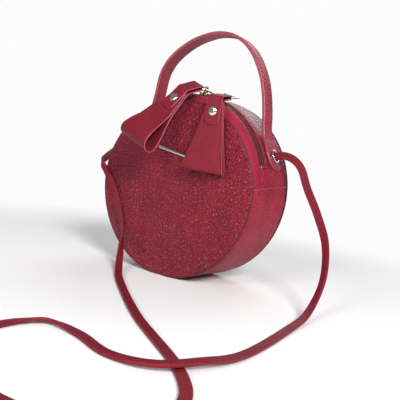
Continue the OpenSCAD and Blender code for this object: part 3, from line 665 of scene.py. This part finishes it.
def row(name, lines, shape, pitch_mm, material, seed, unevenness=0.03):
    """Copies of a shape along lines of (point, outward), as one plain mesh."""
    points, edges, outward = [], [], []
    for line in lines:
        start = len(points)
        points += [tuple(float(c) * MM for c in p) for p, _ in line]
        outward += [tuple(unit(o)) for _, o in line]
        edges += [(start + i, start + i + 1) for i in range(len(line) - 1)]
    piece = new_piece(name, points, edges, [])
    store = piece.data.attributes.new("outward", "FLOAT_VECTOR", "POINT")
    store.data.foreach_set("vector", [c for o in outward for c in o])
    group = row_nodes()
    nodes = piece.modifiers.new("Row", "NODES")
    nodes.node_group = group
    sockets = {s.name: s.identifier for s in group.interface.items_tree if s.in_out == "INPUT"}
    for socket, value in (("Shape", shape), ("Pitch", pitch_mm * MM), ("Unevenness", unevenness),
                          ("Seed", seed), ("Finish", material)):
        nodes[sockets[socket]] = value
    baked(piece)
    if not piece.data.materials:
        piece.data.materials.append(material)
    for polygon in piece.data.polygons:
        polygon.use_smooth = True
    return piece


def arc_row(y, start, end, radius, count=90):
    """A line of (point, outward) round the drum, angles in degrees, that sinks with the leather."""
    turns = [math.radians(degrees) for degrees in np.linspace(start, end, count)]
    return [(sunk(a, radius, y), (math.cos(a), 0, math.sin(a))) for a in turns]


def stitch_row(name, lines, radius, seed):
    """Stitches along lines: each is a plump thread that dives into the leather at both ends."""
    pitch = bpy.context.scene.bag_sizes.stitch
    length = pitch * STITCH_FILL / MM
    thread = finishes()["thread"]
    rings = []
    for i in range(9):
        t = -1 + 2 * i / 8
        fat = radius * math.sqrt(max(0.05, 1 - t ** 4))
        drop = 0.30 * t * t
        rings.append([(t * length / 2, fat * math.cos(a), 0.8 * fat * math.sin(a) - drop) for a in around(8)])
    shape = skinned("Stitch Shape", rings, thread)
    rows = row(name, lines, shape, pitch / MM, thread, seed)
    discard(shape)
    return rows


def bored(piece):
    """Cuts the eyelets' round holes through a piece."""
    for degrees in EYELETS:
        rings = [[(HOLE_R * math.cos(a), HOLE_R * math.sin(a), h) for a in around(40)] for h in (80.0, 100.0)]
        cutter = skinned("Hole Cutter", rings, piece.data.materials[-1], place=on_drum_place(degrees, HANDLE_Y))
        cut = piece.modifiers.new("Hole", "BOOLEAN")
        cut.operation = "DIFFERENCE"
        cut.solver = "EXACT"
        cut.object = cutter
        baked(piece)
        discard(cutter)
    return piece


# Body

def make_body():
    f = finishes()
    for name, side, seed in (("Front Panel", -1, 11.0), ("Back Panel", 1, 23.0)):
        given_to(panel(name, side, f["pebbled"], seed), "bag",
                 [name.lower().replace(" ", "_")])
    given_to(wall_strip("Lower Gusset", 180 - SIDE_SEAM, 360 + SIDE_SEAM, -SEAM_Y, SEAM_Y, True, True,
                        f["side"], 4.0), "bag", ["lower_gusset"])
    low, high = SIDE_SEAM + 0.15, 180 - SIDE_SEAM - 0.15
    given_to(wall_strip("Front Zip Strip", low, high, -SEAM_Y, -20.0, True, False, f["smooth"], 6.0),
             "bag", ["front_zip_strip"])
    ends = (ZIP_END, 180 - ZIP_END)
    rear = wall_strip("Rear Zip Strip", *ends, -10.0, SEAM_Y, False, True, f["pebbled"], 8.0, ends,
                      f["strap"], -2.0)
    given_to(bored(rear), "bag", ["rear_zip_strip"])
    for name, a, b, node in (("Right Zip End Piece", low, ends[0], "zip_end_piece_right"),
                             ("Left Zip End Piece", ends[1], high, "zip_end_piece_left")):
        given_to(wall_strip(name, a, b, -19.8, SEAM_Y, False, True, f["side"], 8.0, ends),
                 "bag", [node])
    # the side seams are raised welts in the pale edge paint; their paleness is partly painted highlight along the
    # raised seam
    for name, degrees in (("Right Side Seam", SIDE_SEAM + 0.1), ("Left Side Seam", 180 - SIDE_SEAM - 0.1)):
        line = []
        for y in np.linspace(-31.5, 31.5, 90):
            a = math.radians(degrees + seam_lean(degrees, y))
            drawn_in = 1.2 * math.exp(-((abs(y) - SEAM_Y) / 3) ** 2)
            line.append(on_drum(a, DRUM_R - 0.35 - give(a, y) - drawn_in, y))
        given_to(tube(name, line, 0.55, f["edge"], sides=8), "bag")
    # a dark cord in each panel's seam: painted shade of the seam groove
    for name, side, inwards in (("Front Seam Piping", -1, 0.9), ("Back Seam Piping", 1, 1.5)):
        line = []
        for degrees in range(360):
            a = math.radians(degrees)
            line.append(flat_foot(on_drum(a, DRUM_R - inwards - give(a, side * RIM_Y), side * 32.75)))
        given_to(tube(name, line, 0.8, f["piping"], closed=True, sides=8), "bag")


def make_stitching():
    lines = [arc_row(y, 19, 161, DRUM_R + 0.12, 220) for y in STITCH_Y]
    given_to(stitch_row("Body Stitching", lines, 0.30, 3), "bag")


# Zip

def coil_shape():
    """One turn of the zip's coil: an oval loop of nylon wire, leaning a little along the zip."""
    rings = []
    for a in around(18):
        centre = np.array((0.42 * math.cos(a), 0.92 * math.cos(a), 0.46 * math.sin(a)))
        out = unit((0, math.cos(a), math.sin(a)))
        rings.append([centre + 0.29 * (math.cos(b) * out + math.sin(b) * np.array((1.0, 0, 0)))
                      for b in around(6)])
    return skinned("Coil Turn Shape", rings, finishes()["coil"], True)


def make_zip():
    f = finishes()
    for name, y0, y1, node in (("Front Zip Tape", -26.9, -15.9, "zip_tape_front"),
                               ("Rear Zip Tape", -14.1, -3.1, "zip_tape_rear")):
        given_to(cloth_band(name, 13, 167, y0, y1, 88.08, 87.32, f["tape"]), "bag", [node])
    shape = coil_shape()
    pitch = bpy.context.scene.bag_sizes.coil_pitch / MM
    for name, y, node, seed in (("Front Zip Coil", ZIP_Y - 2.0, "zip_coil_front", 5),
                                ("Rear Zip Coil", ZIP_Y + 2.0, "zip_coil_rear", 6)):
        line = arc_row(y, 18.7, 161.3, 88.93, 300)
        given_to(row(name, [line], shape, pitch, f["coil"], seed, 0.02), "bag", [node])
    discard(shape)
    stop = [(-0.85, -3.1), (0.85, -3.1), (0.85, 3.1), (-0.85, 3.1)]
    for name, degrees, node in (("Right Zip Stop", 17.75, "zip_stop_right"),
                                ("Left Zip Stop", 162.25, "zip_stop_left")):
        given_to(pillow(name, stop, 88.16, 89.66, 0.35, on_drum_place(degrees, ZIP_Y), f["pale_gold"]),
                 "bag", [node])


# Sliders, rings and pulls

# The slider's angle, how its ring and pull hang, and the folded strip's shape
PULLS = {
    "left": dict(angle=83.0, pose=(-9.4, -30.3, 21.2), tilt=24.6, shift=2.8, neck=16.0, bend=35.0, loop=7.2),
    "right": dict(angle=69.0, pose=(10.3, -1.8, 2.5), tilt=11.6, shift=5.6, neck=15.7, bend=76.0, loop=2.0),
}
PULL_T = 1.3
PULL_BEND_R = 1.8  # middle of the leather round the ring's bar
NECK_W = 14.5
PULL_W = 42.0
PULL_L = 83.0  # from the ring's bar to the loop's far end, along the strip
TAB_L = 40.0
# how the pull widens from its neck to its far end, both as parts of the whole
WIDENING = ((0, 0), (0.12, 0.09), (0.35, 0.3), (0.6, 0.56), (0.8, 0.79), (1, 1))


def turn_by(x, y, z):
    """Turns about X, then Y, then Z, in degrees."""
    return (Matrix.Rotation(math.radians(z), 4, "Z") @ Matrix.Rotation(math.radians(y), 4, "Y")
            @ Matrix.Rotation(math.radians(x), 4, "X"))


def ring_place(p):
    pivot = Matrix.Translation(on_drum(math.radians(p["angle"]), PIVOT_R, ZIP_Y))
    turn, lean, roll = p["pose"]
    return pivot @ turn_by(lean, roll, turn) @ turn_by(p["tilt"], 0, 0) @ Matrix.Translation((p["shift"], 0, 0))


def pull_place(p):
    return ring_place(p) @ Matrix.Translation((0, -RING_REACH, 0)) @ turn_by(-p["tilt"], 0, 0)


def make_slider(side):
    metal = finishes()["pale_gold"]
    place = on_drum_place(PULLS[side]["angle"], ZIP_Y)
    parts = [
        pillow("top", rounded_box(5.2, 4.4, 2.0), 89.95, 91.15, 0.5, place, metal),
        pillow("under", rounded_box(5.2, 4.4, 2.0), 85.8, 87.0, 0.4, place, metal),
        pillow("post", rounded_box(2.08, 0.5, 0.3, 2), 86.4, 90.5, 0.1, place, metal),
    ]
    for s in (-1, 1):
        outline = [(x, y + s * 3.95) for x, y in rounded_box(3.6, 0.45, 0.3, 2)]
        parts.append(pillow("flange", outline, 88.4, 90.6, 0.15, place, metal))
    # the ear is round above the pivot and reaches down to the slider's top below it
    bore, ear_r, foot = 1.7, 2.9, 4.1
    hole = [(PIVOT_R + bore * math.cos(a), bore * math.sin(a)) for a in around(32)]
    ear = []
    for a in around(32):
        x, y = math.cos(a), math.sin(a)
        reach = ear_r if x >= 0 else min(ear_r / max(abs(y), 1e-6), foot / abs(x))
        ear.append((PIVOT_R + reach * x, reach * y))
    upright = Matrix(((0, 0, 1, 0), (0, 1, 0, 0), (1, 0, 0, 0), (0, 0, 0, 1)))
    parts.append(pillow("ear", ear, -0.8, 0.8, 0.3, place @ upright, metal, hole=hole))
    given_to(joined(side.title() + " Slider", parts), side + "_slider", ["slider_" + side])


def make_ring(side):
    outline = [(x, y - RING_REACH / 2) for x, y in rounded_box(8.8, RING_REACH / 2, 2.0, 8)]
    line = []
    for a, b in zip(outline, outline[1:] + outline[:1]):
        line.append((a[0], a[1], 0.0))
        if math.dist(a, b) > 3:
            line += [(a[0] + (b[0] - a[0]) * t, a[1] + (b[1] - a[1]) * t, 0.0) for t in (0.33, 0.67)]
    clean = [q for i, q in enumerate(line) if math.dist(q, line[i - 1]) > 1e-6]
    piece = tube(side.title() + " Pull Ring", clean, 0.9, finishes()["nickel"], ring_place(PULLS[side]),
                 closed=True, sides=16)
    given_to(piece, side + "_ring", ["pull_ring_" + side])


def pull_stations(p):
    """The pull's strip from its riveted tab, over the ring's bar, down the back, round the loop and up the front."""
    t, mid = PULL_T, PULL_BEND_R
    neck, bend, loop = p["neck"], math.radians(p["bend"]), p["loop"]
    b = np.array((-neck * math.sin(bend), -neck * math.cos(bend)))
    tab_z = b[1] - (TAB_L - neck)
    leaf = PULL_L - neck
    swing = loop + t / 2
    far_z = b[1] - leaf + loop + t
    front_y = b[0] - 0.45
    down = b / neck
    normal = np.array((down[1], -down[0]))
    front = np.array((-1.0, 0.0))

    def arc(centre, radius, first, sweep, steps):
        turns = [first + sweep * s for s in np.linspace(0, 1, steps)]
        return [(centre[0] + radius * math.cos(a), centre[1] + radius * math.sin(a)) for a in turns]

    start = math.atan2(normal[1], normal[0])
    tab = [(b[0] - mid, z) for z in np.linspace(tab_z, b[1] - 1, 26)]
    strip = arc(b, mid, math.pi, (start if start > 0 else start + 2 * math.pi) - math.pi, 8)
    strip += [tuple(b * (1 - s) + normal * mid) for s in np.linspace(0.15, 0.9, 6)]
    strip += arc((0, 0), mid, start, -math.pi, 10)
    mitre = b - mid * (normal + front) / (1 + float(np.dot(normal, front)))
    first = mitre - down * 3.0
    last = mitre + np.array((0.0, -3.0))
    strip += [tuple(-normal * mid + (first + normal * mid) * s) for s in np.linspace(0.2, 0.8, 4)]
    leaves = [tuple(first * (1 - s) ** 2 + 2 * mitre * s * (1 - s) + last * s * s) for s in np.linspace(0, 1, 6)]
    leaves += [(b[0] + mid, z) for z in np.linspace(last[1] - 2, tab_z, 10)]
    leaves += [(b[0] + mid + (swing - mid) * (s * s * (3 - 2 * s)), tab_z + (far_z - tab_z) * s)
               for s in np.linspace(0.06, 0.96, 18)]
    leaves += arc((b[0], far_z), swing, 0, -math.pi, 15)
    for s in np.linspace(0.04, 0.96, 18):
        bow = (1 - s) ** 2 * (3 - 2 * (1 - s))
        leaves.append((front_y - (swing - 0.45) * bow, far_z + (tab_z - far_z) * s))
    leaves += [(front_y, z) for z in np.linspace(tab_z, b[1] - 3, 10)]
    line = np.array(tab + strip + leaves)
    stations = []
    for i, (y, z) in enumerate(line):
        way = way_along(line, i)
        if i < len(tab):
            width = NECK_W - 2 * max(0.0, 3.5 - (z - tab_z))
        elif i < len(tab) + len(strip):
            width = NECK_W
        else:
            share = clamp((b[1] - z) / leaf)
            width = NECK_W + (PULL_W - NECK_W) * float(np.interp(share, *zip(*WIDENING)))
        stations.append(((0.0, y, z), (1.0, 0.0, 0.0), (0.0, -way[1], way[0]), width, t))
    return stations, b


def make_pull(side):
    f = finishes()
    p = PULLS[side]
    place = pull_place(p)
    turn = np.array(place)[:3, :3]
    stations, b = pull_stations(p)
    moved = [(placed([centre], place)[0], turn @ np.array(across), turn @ np.array(up), width, thickness)
             for centre, across, up, width, thickness in stations]
    piece = band(side.title() + " Leather Pull", moved, f["strap"], f["strap"], f["edge"], crease=0.22)
    given_to(piece, side + "_pull", ["leather_pull_" + side])
    at = place @ Matrix.Translation((0, b[0], b[1] - (28.0 - p["neck"])))
    front = at @ Matrix.Translation((0, -2.5, 0)) @ Matrix.Rotation(math.radians(90), 4, "X")
    behind = at @ Matrix.Translation((0, 2.55, 0)) @ Matrix.Rotation(math.radians(-90), 4, "X")
    cap = [(0, 0), (4.05, 0), (4.25, 0.15), (4.2, 0.45), (3.8, 0.85), (3.1, 1.15), (2.2, 1.33), (1.1, 1.43),
           (0, 1.45)]
    rivet = turned("cap", cap, front, f["nickel"], 40)
    post = turned("post", [(0, -6.0), (1.5, -6.0), (1.5, 0.1), (0, 0.1)], front, f["nickel"], 24)
    given_to(joined(side.title() + " Rivet", [rivet, post]), side + "_pull", ["rivet_" + side])
    plate = [(1.6, 0), (3.3, 0), (3.42, 0.2), (3.3, 0.55), (2.9, 0.75), (1.6, 0.8)]
    given_to(turned(side.title() + " Rivet Back", plate, behind, f["nickel"], 32), side + "_pull",
             ["rivet_back_" + side])


def make_pulls():
    for side in ("left", "right"):
        make_slider(side)
        make_ring(side)
        make_pull(side)


# Handle

# The arch as (x, height above the axis), and the angles of the points of a tab that lies on the drum
HANDLE_ARCH = (
    (70.7, 61.0), (69.4, 67.5), (68.8, 74.5), (67.1, 84.5), (64.7, 95.5), (61.3, 107.0), (56.6, 117.4),
    (50.3, 128.0), (42.7, 137.2), (33.0, 145.0), (19.5, 151.0), (3.4, 152.7), (-11.0, 150.6), (-26.8, 145.4),
    (-42.3, 136.4), (-53.7, 126.4), (-60.9, 115.4), (-63.9, 105.0), (-65.0, 95.0), (-66.6, 84.5),
    (-68.5, 74.5), (-69.3, 67.5), (-70.7, 61.0),
)
TAB_ANGLES = (16.5, 16.9, 17.6, 18.6, 20.1, 22.1, 24.6, 27.5, 30.5, 33.5, 36.5)
TAB_R = 91.1
TAB_END_R = 13.5  # radius of a tab's round end
TAB_W = 27.0
HANDLE_W = 15.8


def make_handle():
    f = finishes()
    right = [(TAB_R * math.cos(math.radians(a)), TAB_R * math.sin(math.radians(a))) for a in TAB_ANGLES]
    left = [(-x, z) for x, z in reversed(right)]
    line = smooth_line(right + list(HANDLE_ARCH) + left, 5)
    along = np.concatenate([[0], np.cumsum(np.linalg.norm(np.diff(line, axis=0), axis=1))])
    stations = []
    for i, (x, z) in enumerate(line):
        way = way_along(line, i)
        s = min(along[i], along[-1] - along[i])
        if s < TAB_END_R:
            width = max(1.2, 2 * math.sqrt(max(0.0, TAB_END_R ** 2 - (TAB_END_R - s) ** 2)))
        else:
            ease = clamp((s - 14.5) / 24)
            width = TAB_W - (TAB_W - HANDLE_W) * ease * ease * (3 - 2 * ease)
        thick = 1.9 + 1.1 * clamp((s - 24) / 12)
        stations.append(((x, HANDLE_Y, CENTRE_H + z), (0.0, 1.0, 0.0), (way[1], 0.0, -way[0]), width, thick))
    piece = bored(band("Handle", stations, f["handle"], f["inside"], f["edge"]))
    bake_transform(piece)
    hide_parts("handle", "handle_tab_left", "handle_tab_right")
    lines = []
    for s in (-1, 1):
        lines.append([(np.array(centre) + s * (width / 2 - 2.2) * np.array(across)
                       + (thick / 2 + 0.1) * np.array(up), up)
                      for centre, across, up, width, thick in stations if width >= 8])
    rows = stitch_row("Handle Stitching", lines, 0.28, 8)
    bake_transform(rows)


# Metal on the body

def make_fittings():
    nickel = finishes()["nickel"]
    rim = [(4.4, 86.0), (4.4, 92.35), (4.55, 92.85), (4.95, 93.2), (5.5, 93.32), (6.05, 93.2), (6.42, 92.85),
           (6.52, 92.45), (6.4, 92.2), (5.2, 92.15), (5.2, 86.0)]
    washer = [(5.3, 85.96), (6.3, 85.96), (6.5, 86.2), (6.5, 86.7), (6.3, 86.94), (5.3, 86.94)]
    for side, degrees in zip(("Right", "Left"), EYELETS):
        place = on_drum_place(degrees, HANDLE_Y)
        for kind, profile, sides in (("Eyelet", rim, 56), ("Eyelet Washer", washer, 40)):
            given_to(turned(side + " " + kind, profile, place, nickel, sides), "bag",
                     [kind.lower().replace(" ", "_") + "_" + side.lower()])
    facing = Matrix.Translation((-1.0, -36.74, 120.0)) @ turn_by(90, 10, 0)
    parts = [pillow("bar", rounded_box(18.0, 1.6, 1.55, 8), 0.0, 1.6, 0.55, facing, nickel, steps=4)]
    for x in (-12.6, 12.6):
        parts.append(turned("prong", [(0, -5.2), (0.8, -5.2), (0.8, 0.4), (0, 0.4)],
                            facing @ Matrix.Translation((x, 0, 0)), nickel, 16))
    given_to(joined("Plain Metal Bar", parts), "bag", ["plain_metal_bar"])


# Inside

def make_inside():
    f = finishes()
    crown, floor_r = 3, 88.4  # how far the sheets stand out, and how far down they may reach
    for name, side, reach, depth, thick, finish, slot, node in (
            ("Front Lining", -1, 87.9, 30.05, 0.7, "lining", "lining_cloth", "lining_front"),
            ("Back Lining", 1, 87.9, 30.05, 0.7, "lining", "lining_cloth", "lining_back"),
            ("Front Board", -1, 84.3, 30.95, 1.1, "board", "stiffening_board", "front_board"),
            ("Back Board", 1, 84.3, 30.95, 1.1, "board", "stiffening_board", "back_board")):
        across = [reach * share for share in (0, 0.25, 0.5, 0.68, 0.8, 0.88, 0.94, 0.98, 1)]
        profile = [(rho, depth + thick + crown * (1 - (rho / DRUM_R) ** 2)) for rho in across]
        profile += [(rho, depth + crown * (1 - (rho / DRUM_R) ** 2)) for rho in reversed(across)]
        rings = []
        for a in around(120):
            limit = floor_r / max(1e-6, -math.sin(a)) if math.sin(a) < 0 else math.inf
            rings.append([on_drum(a, min(rho, limit) - give(a, side * RIM_Y) * (rho / RIM_R) ** 4, side * y)
                          for rho, y in profile])
        given_to(skinned(name, rings, f[finish], True, sharp=50, merge=True), "bag", [node])
    parts = [cloth_band("lining", a0, a1, y0, y1, 88.05, 87.35, f["lining"]) for a0, a1, y0, y1 in
             ((167.2, 372.8, -29.9, 29.9), (12.8, 167.2, -29.9, -27.05), (12.8, 167.2, -2.95, 29.9))]
    bored(parts[2])
    given_to(joined("Lining Gusset", parts), "bag", ["lining_gusset"])
    for name, side, node in (("Front Seam Binding", -1, "front_seam_binding"),
                             ("Back Seam Binding", 1, "back_seam_binding")):
        rings = [[on_drum(a, 85.6 + u - give(a, side * 30.5), side * (28.95 + v))
                  for u, v in rounded_box(1.4, 0.95, 0.5, 3)] for a in around(240)]
        given_to(skinned(name, rings, f["binding"], True), "bag", [node])


# Shoulder strap

# The strap's route from the right knot to the left one, and the turn of its flat side in degrees
STRAP_ROUTE = (
    (76.6, 9, 124.7, 90), (84.3, 9, 128.3, 90), (93.4, 9.2, 129.5, 90), (103, 9.8, 126.5, 90),
    (111, 10.7, 118.7, 90), (118.6, 11.4, 103, 86), (132.5, 10, 81.5, 76), (147, 3, 57.5, 62),
    (156.5, -14, 30.5, 44), (159, -40, 7.5, 18), (163.5, -80, 2.1, 0), (173, -158, 2, 0),
    (169, -199, 5, 0), (154, -223, 4, 0), (125, -228.5, 1.6, 0), (93, -220.5, 1.7, 4),
    (66, -222, 2.7, 24), (56.5, -246, 2, 6), (68, -280, 1.5, 0), (108, -304, 1.5, 0),
    (154, -304, 1.5, 0), (188, -283, 1.5, 0), (192, -248, 1.5, 0), (162, -211.5, 1.4, 0),
    (84, -159, 1.5, 0), (8, -97, 1.7, 0), (-24, -66, 4.5, 12), (-41.5, -47.5, 18, 48),
    (-51.5, -39.7, 38.5, 82), (-69, -39.1, 74.5, 90), (-83.5, -39.4, 91.5, 90),
    (-94.5, -35.5, 99, 86), (-101.5, -23.5, 104.8, 56), (-105.6, -9.6, 112.2, 24),
    (-106, -1.1, 119.1, 6), (-102.9, 3.9, 124.4, 0), (-97.6, 7.1, 127.9, 0),
    (-91.1, 8.6, 129.3, 0), (-84.3, 9, 128.3, 0), (-76.6, 9, 124.7, 0),
)
STRAP_T = 2.3


def make_strap():
    leather_of_strap = finishes()["strap"]
    size = bpy.context.scene.bag_sizes
    line = smooth_line(STRAP_ROUTE, 8)
    stations = []
    for i, (x, y, z, turn) in enumerate(line):
        way = way_along(line[:, :3], i)
        side = unit(np.cross((0.0, 0.0, 1.0), way))
        other = np.cross(way, side)
        a = math.radians(turn)
        wide = side * math.cos(a) + other * math.sin(a)
        thick = other * math.cos(a) - side * math.sin(a)
        stations.append(((x, y, z), wide, thick, size.strap_width / MM, STRAP_T))
    strap = band("Shoulder Strap", stations, leather_of_strap, leather_of_strap, leather_of_strap)
    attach(strap, "bag")
    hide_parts("shoulder_strap")
    for side, degrees in zip(("Right", "Left"), EYELETS):
        loops = []
        for a in around(72):
            out = 1.9 + 1.3 * math.cos(3 * a)
            loops.append((out * math.cos(2 * a), out * math.sin(2 * a), 83.2 + 0.95 * math.sin(3 * a)))
        knot = tube(side + " Strap Knot", loops, 1.35, leather_of_strap, on_drum_place(degrees, HANDLE_Y),
                    closed=True, sides=10)
        given_to(knot, "bag", ["strap_knot_" + side.lower()])


# Stage: camera, floor and light; places are in metres

CAMERA_PLACE = (0.3304, -0.4518, 0.1127)
CAMERA_AXES = ((0.80383, 0.57843, 0.13887), (-0.15163, -0.02650, 0.98808), (0.57521, -0.81530, 0.06640))
LAMP_AIM = (0.0, 0.0, 0.1)
# name, place, size, power in watts, colour
LAMPS = (
    ("Right Softbox", (1.15, -0.85, 0.85), 0.5, 24.5, (1.0, 0.99, 0.98)),
    ("Front Softbox", (0.15, -1.35, 0.6), 0.45, 8.5, (0.98, 0.99, 1.0)),
    ("Back Light", (-0.3, 1.1, 1.05), 1.1, 7.5, (1.0, 1.0, 1.0)),
)
BACKDROP = {"Color": (1.0, 1.0, 1.0, 1.0), "Strength": 0.97}


def backdrop_paper():
    """Matt white paper that runs out into the white backdrop well away from the bag."""
    paper, tree, skin, where = surface("White Studio Paper")
    feed(tree, skin, {"Base Color": (0.93, 0.93, 0.93, 1.0), "Roughness": 1.0, "Specular IOR Level": 0.0})
    away = add(tree, "ShaderNodeVectorMath", {0: where}, operation="LENGTH")
    far = add(tree, "ShaderNodeMapRange", {"Value": away.outputs["Value"], "From Min": 0.22, "From Max": 0.55},
              interpolation_type="SMOOTHSTEP")
    ray = add(tree, "ShaderNodeLightPath")
    blank = add(tree, "ShaderNodeMath", {0: far.outputs[0], 1: ray.outputs["Is Camera Ray"]},
                operation="MULTIPLY")
    glow = add(tree, "ShaderNodeEmission", BACKDROP)
    mixed = add(tree, "ShaderNodeMixShader", {0: blank.outputs[0], 1: skin.outputs[0], 2: glow.outputs[0]})
    feed(tree, tree.nodes["Material Output"], {"Surface": mixed.outputs[0]})
    return paper


def make_stage():
    scene = bpy.context.scene
    view = bpy.data.cameras.new("Camera")
    view.sensor_width = 36.0
    view.sensor_fit = "HORIZONTAL"
    view.lens = 50.11
    camera = bpy.data.objects.new("Camera", view)
    turn = Matrix(CAMERA_AXES).transposed().to_4x4()
    camera.matrix_world = Matrix.Translation(CAMERA_PLACE) @ turn
    scene.collection.objects.link(camera)
    scene.camera = camera
    floor = mesh_piece("Floor", [(-3000, -3000, 0), (3000, -3000, 0), (3000, 3000, 0), (-3000, 3000, 0)],
                       [(0, 1, 2, 3)], backdrop_paper(), smooth=False)
    for name, place, size, power, colour in LAMPS:
        light = bpy.data.lights.new(name, "AREA")
        light.shape = "DISK"
        light.size = size
        light.energy = power
        light.color = colour
        lamp = bpy.data.objects.new(name, light)
        lamp.location = place
        lamp.rotation_euler = (Vector(LAMP_AIM) - Vector(place)).to_track_quat("-Z", "Y").to_euler()
        scene.collection.objects.link(lamp)
    # the camera sees a white backdrop; everything else is lit by a dim, slightly blue room
    world = bpy.data.worlds.new("Pale Studio")
    world.use_nodes = True
    tree = world.node_tree
    tree.nodes.clear()
    seen = add(tree, "ShaderNodeLightPath")
    soft = add(tree, "ShaderNodeBackground", {"Color": (0.97, 0.98, 1.0, 1.0), "Strength": 0.22})
    white = add(tree, "ShaderNodeBackground", BACKDROP)
    mixed = add(tree, "ShaderNodeMixShader",
                {0: seen.outputs["Is Camera Ray"], 1: soft.outputs[0], 2: white.outputs[0]})
    add(tree, "ShaderNodeOutputWorld", {"Surface": mixed.outputs[0]})
    scene.world = world
    scene.view_settings.view_transform = "Standard"


# Panel, sizes and colours

def measure(name, description, default, low, high, **kind):
    return bpy.props.FloatProperty(name=name, description=description, default=default, min=low, max=high, **kind)


def colour(name, description, hex_colour):
    return bpy.props.FloatVectorProperty(name=name, description=description, subtype="COLOR", size=4, min=0.0,
                                         max=1.0, default=linear(hex_colour))


METRES = dict(subtype="DISTANCE", unit="LENGTH")


class BagSizes(bpy.types.PropertyGroup):
    crown: measure("Panel crown", "How far the round panels stand out, mm", 3.0, 0.0, 5.0)
    pucker: measure("Seam pucker", "Height of the puckers along the seams, mm", 0.45, 0.0, 1.0)
    stitch: measure("Stitch length", "Distance from one stitch to the next", 0.0030, 0.0015, 0.006, **METRES)
    coil_pitch: measure("Coil pitch", "Distance between turns of the zip's coil", 0.0016, 0.001, 0.003, **METRES)
    strap_width: measure("Strap width", "Width of the shoulder strap", 0.007, 0.006, 0.0075, **METRES)


class BagColours(bpy.types.PropertyGroup):
    leather: colour("Pebbled leather", "High parts of the pebbled leather", "#922034")
    # the deep colours are painted shade in the gaps between the pebbles and in the pores
    leather_gap_shade: colour("Pebbled leather, deep", "Gaps between the pebbles", "#4A101A")
    strip: colour("Smooth leather", "Strip in front of the zip", "#9C1E3A")
    strip_pore_shade: colour("Smooth leather, deep", "Pores of the smooth leather", "#761A2E")
    pull: colour("Strap leather", "Pulls and shoulder strap", "#821E2D")
    pull_pore_shade: colour("Strap leather, deep", "Pores of the strap leather", "#641622")
    # lighter than the pebbled leather: painted light on the side wall
    side: colour("Side leather", "Side wall and the pieces at the zip's ends", "#A82C42")
    # lighter and pinker than the strap leather: painted sheen on the handle
    handle: colour("Handle leather", "Top handle and its tabs", "#A63C50")
    edge: colour("Edge paint", "Painted cut edges", "#9E4655")


def operator(name, label, words, work):
    """An operator that makes one group of pieces."""
    def execute(self, context):
        work()
        return {"FINISHED"}
    return type(name, (bpy.types.Operator,), {
        "bl_idname": "bag." + label.lower().replace(" ", "_"), "bl_label": label, "__doc__": words,
        "bl_options": {"REGISTER"}, "execute": execute})


OPERATORS = (
    operator("BAG_OT_stage", "Make Stage", "Make the camera, the floor and the light", make_stage),
    operator("BAG_OT_strap", "Make Strap", "Make the shoulder strap and its knots", make_strap),
    operator("BAG_OT_body", "Make Body", "Make the leather panels and the side wall", make_body),
    operator("BAG_OT_zip", "Make Zip", "Make the zip's tapes, coils and stops", make_zip),
    operator("BAG_OT_pulls", "Make Pulls", "Make the sliders, rings, leather pulls and rivets", make_pulls),
    operator("BAG_OT_handle", "Make Handle", "Make the handle with its tabs", make_handle),
    operator("BAG_OT_fittings", "Make Fittings", "Make the eyelets and the plain metal bar", make_fittings),
    operator("BAG_OT_inside", "Make Inside", "Make the lining, the bindings and the boards", make_inside),
    operator("BAG_OT_stitching", "Make Stitching", "Make the stitch rows on the body", make_stitching),
)


class BAG_PT_panel(bpy.types.Panel):
    """Sizes, colours and steps of the bag"""
    bl_label = "Round Zip-Top Bag"
    bl_idname = "BAG_PT_panel"
    bl_space_type = "VIEW_3D"
    bl_region_type = "UI"
    bl_category = "Bag"

    def draw(self, context):
        for group in (context.scene.bag_sizes, context.scene.bag_colours):
            for name in group.bl_rna.properties.keys():
                if name not in ("rna_type", "name"):
                    self.layout.prop(group, name)
        for made in OPERATORS:
            self.layout.operator(made.bl_idname)


CLASSES = (BagSizes, BagColours, BAG_PT_panel) + OPERATORS


def register():
    for cls in CLASSES:
        bpy.utils.register_class(cls)
    bpy.types.Scene.bag_sizes = bpy.props.PointerProperty(type=BagSizes)
    bpy.types.Scene.bag_colours = bpy.props.PointerProperty(type=BagColours)


def unregister():
    del bpy.types.Scene.bag_colours
    del bpy.types.Scene.bag_sizes
    for cls in reversed(CLASSES):
        bpy.utils.unregister_class(cls)


def main():
    register()
    for made in OPERATORS:
        group, name = made.bl_idname.split(".")
        result = getattr(getattr(bpy.ops, group), name)()
        if result != {"FINISHED"}:
            raise RuntimeError(made.bl_label + " did not finish")


if __name__ == "__main__":
    main()
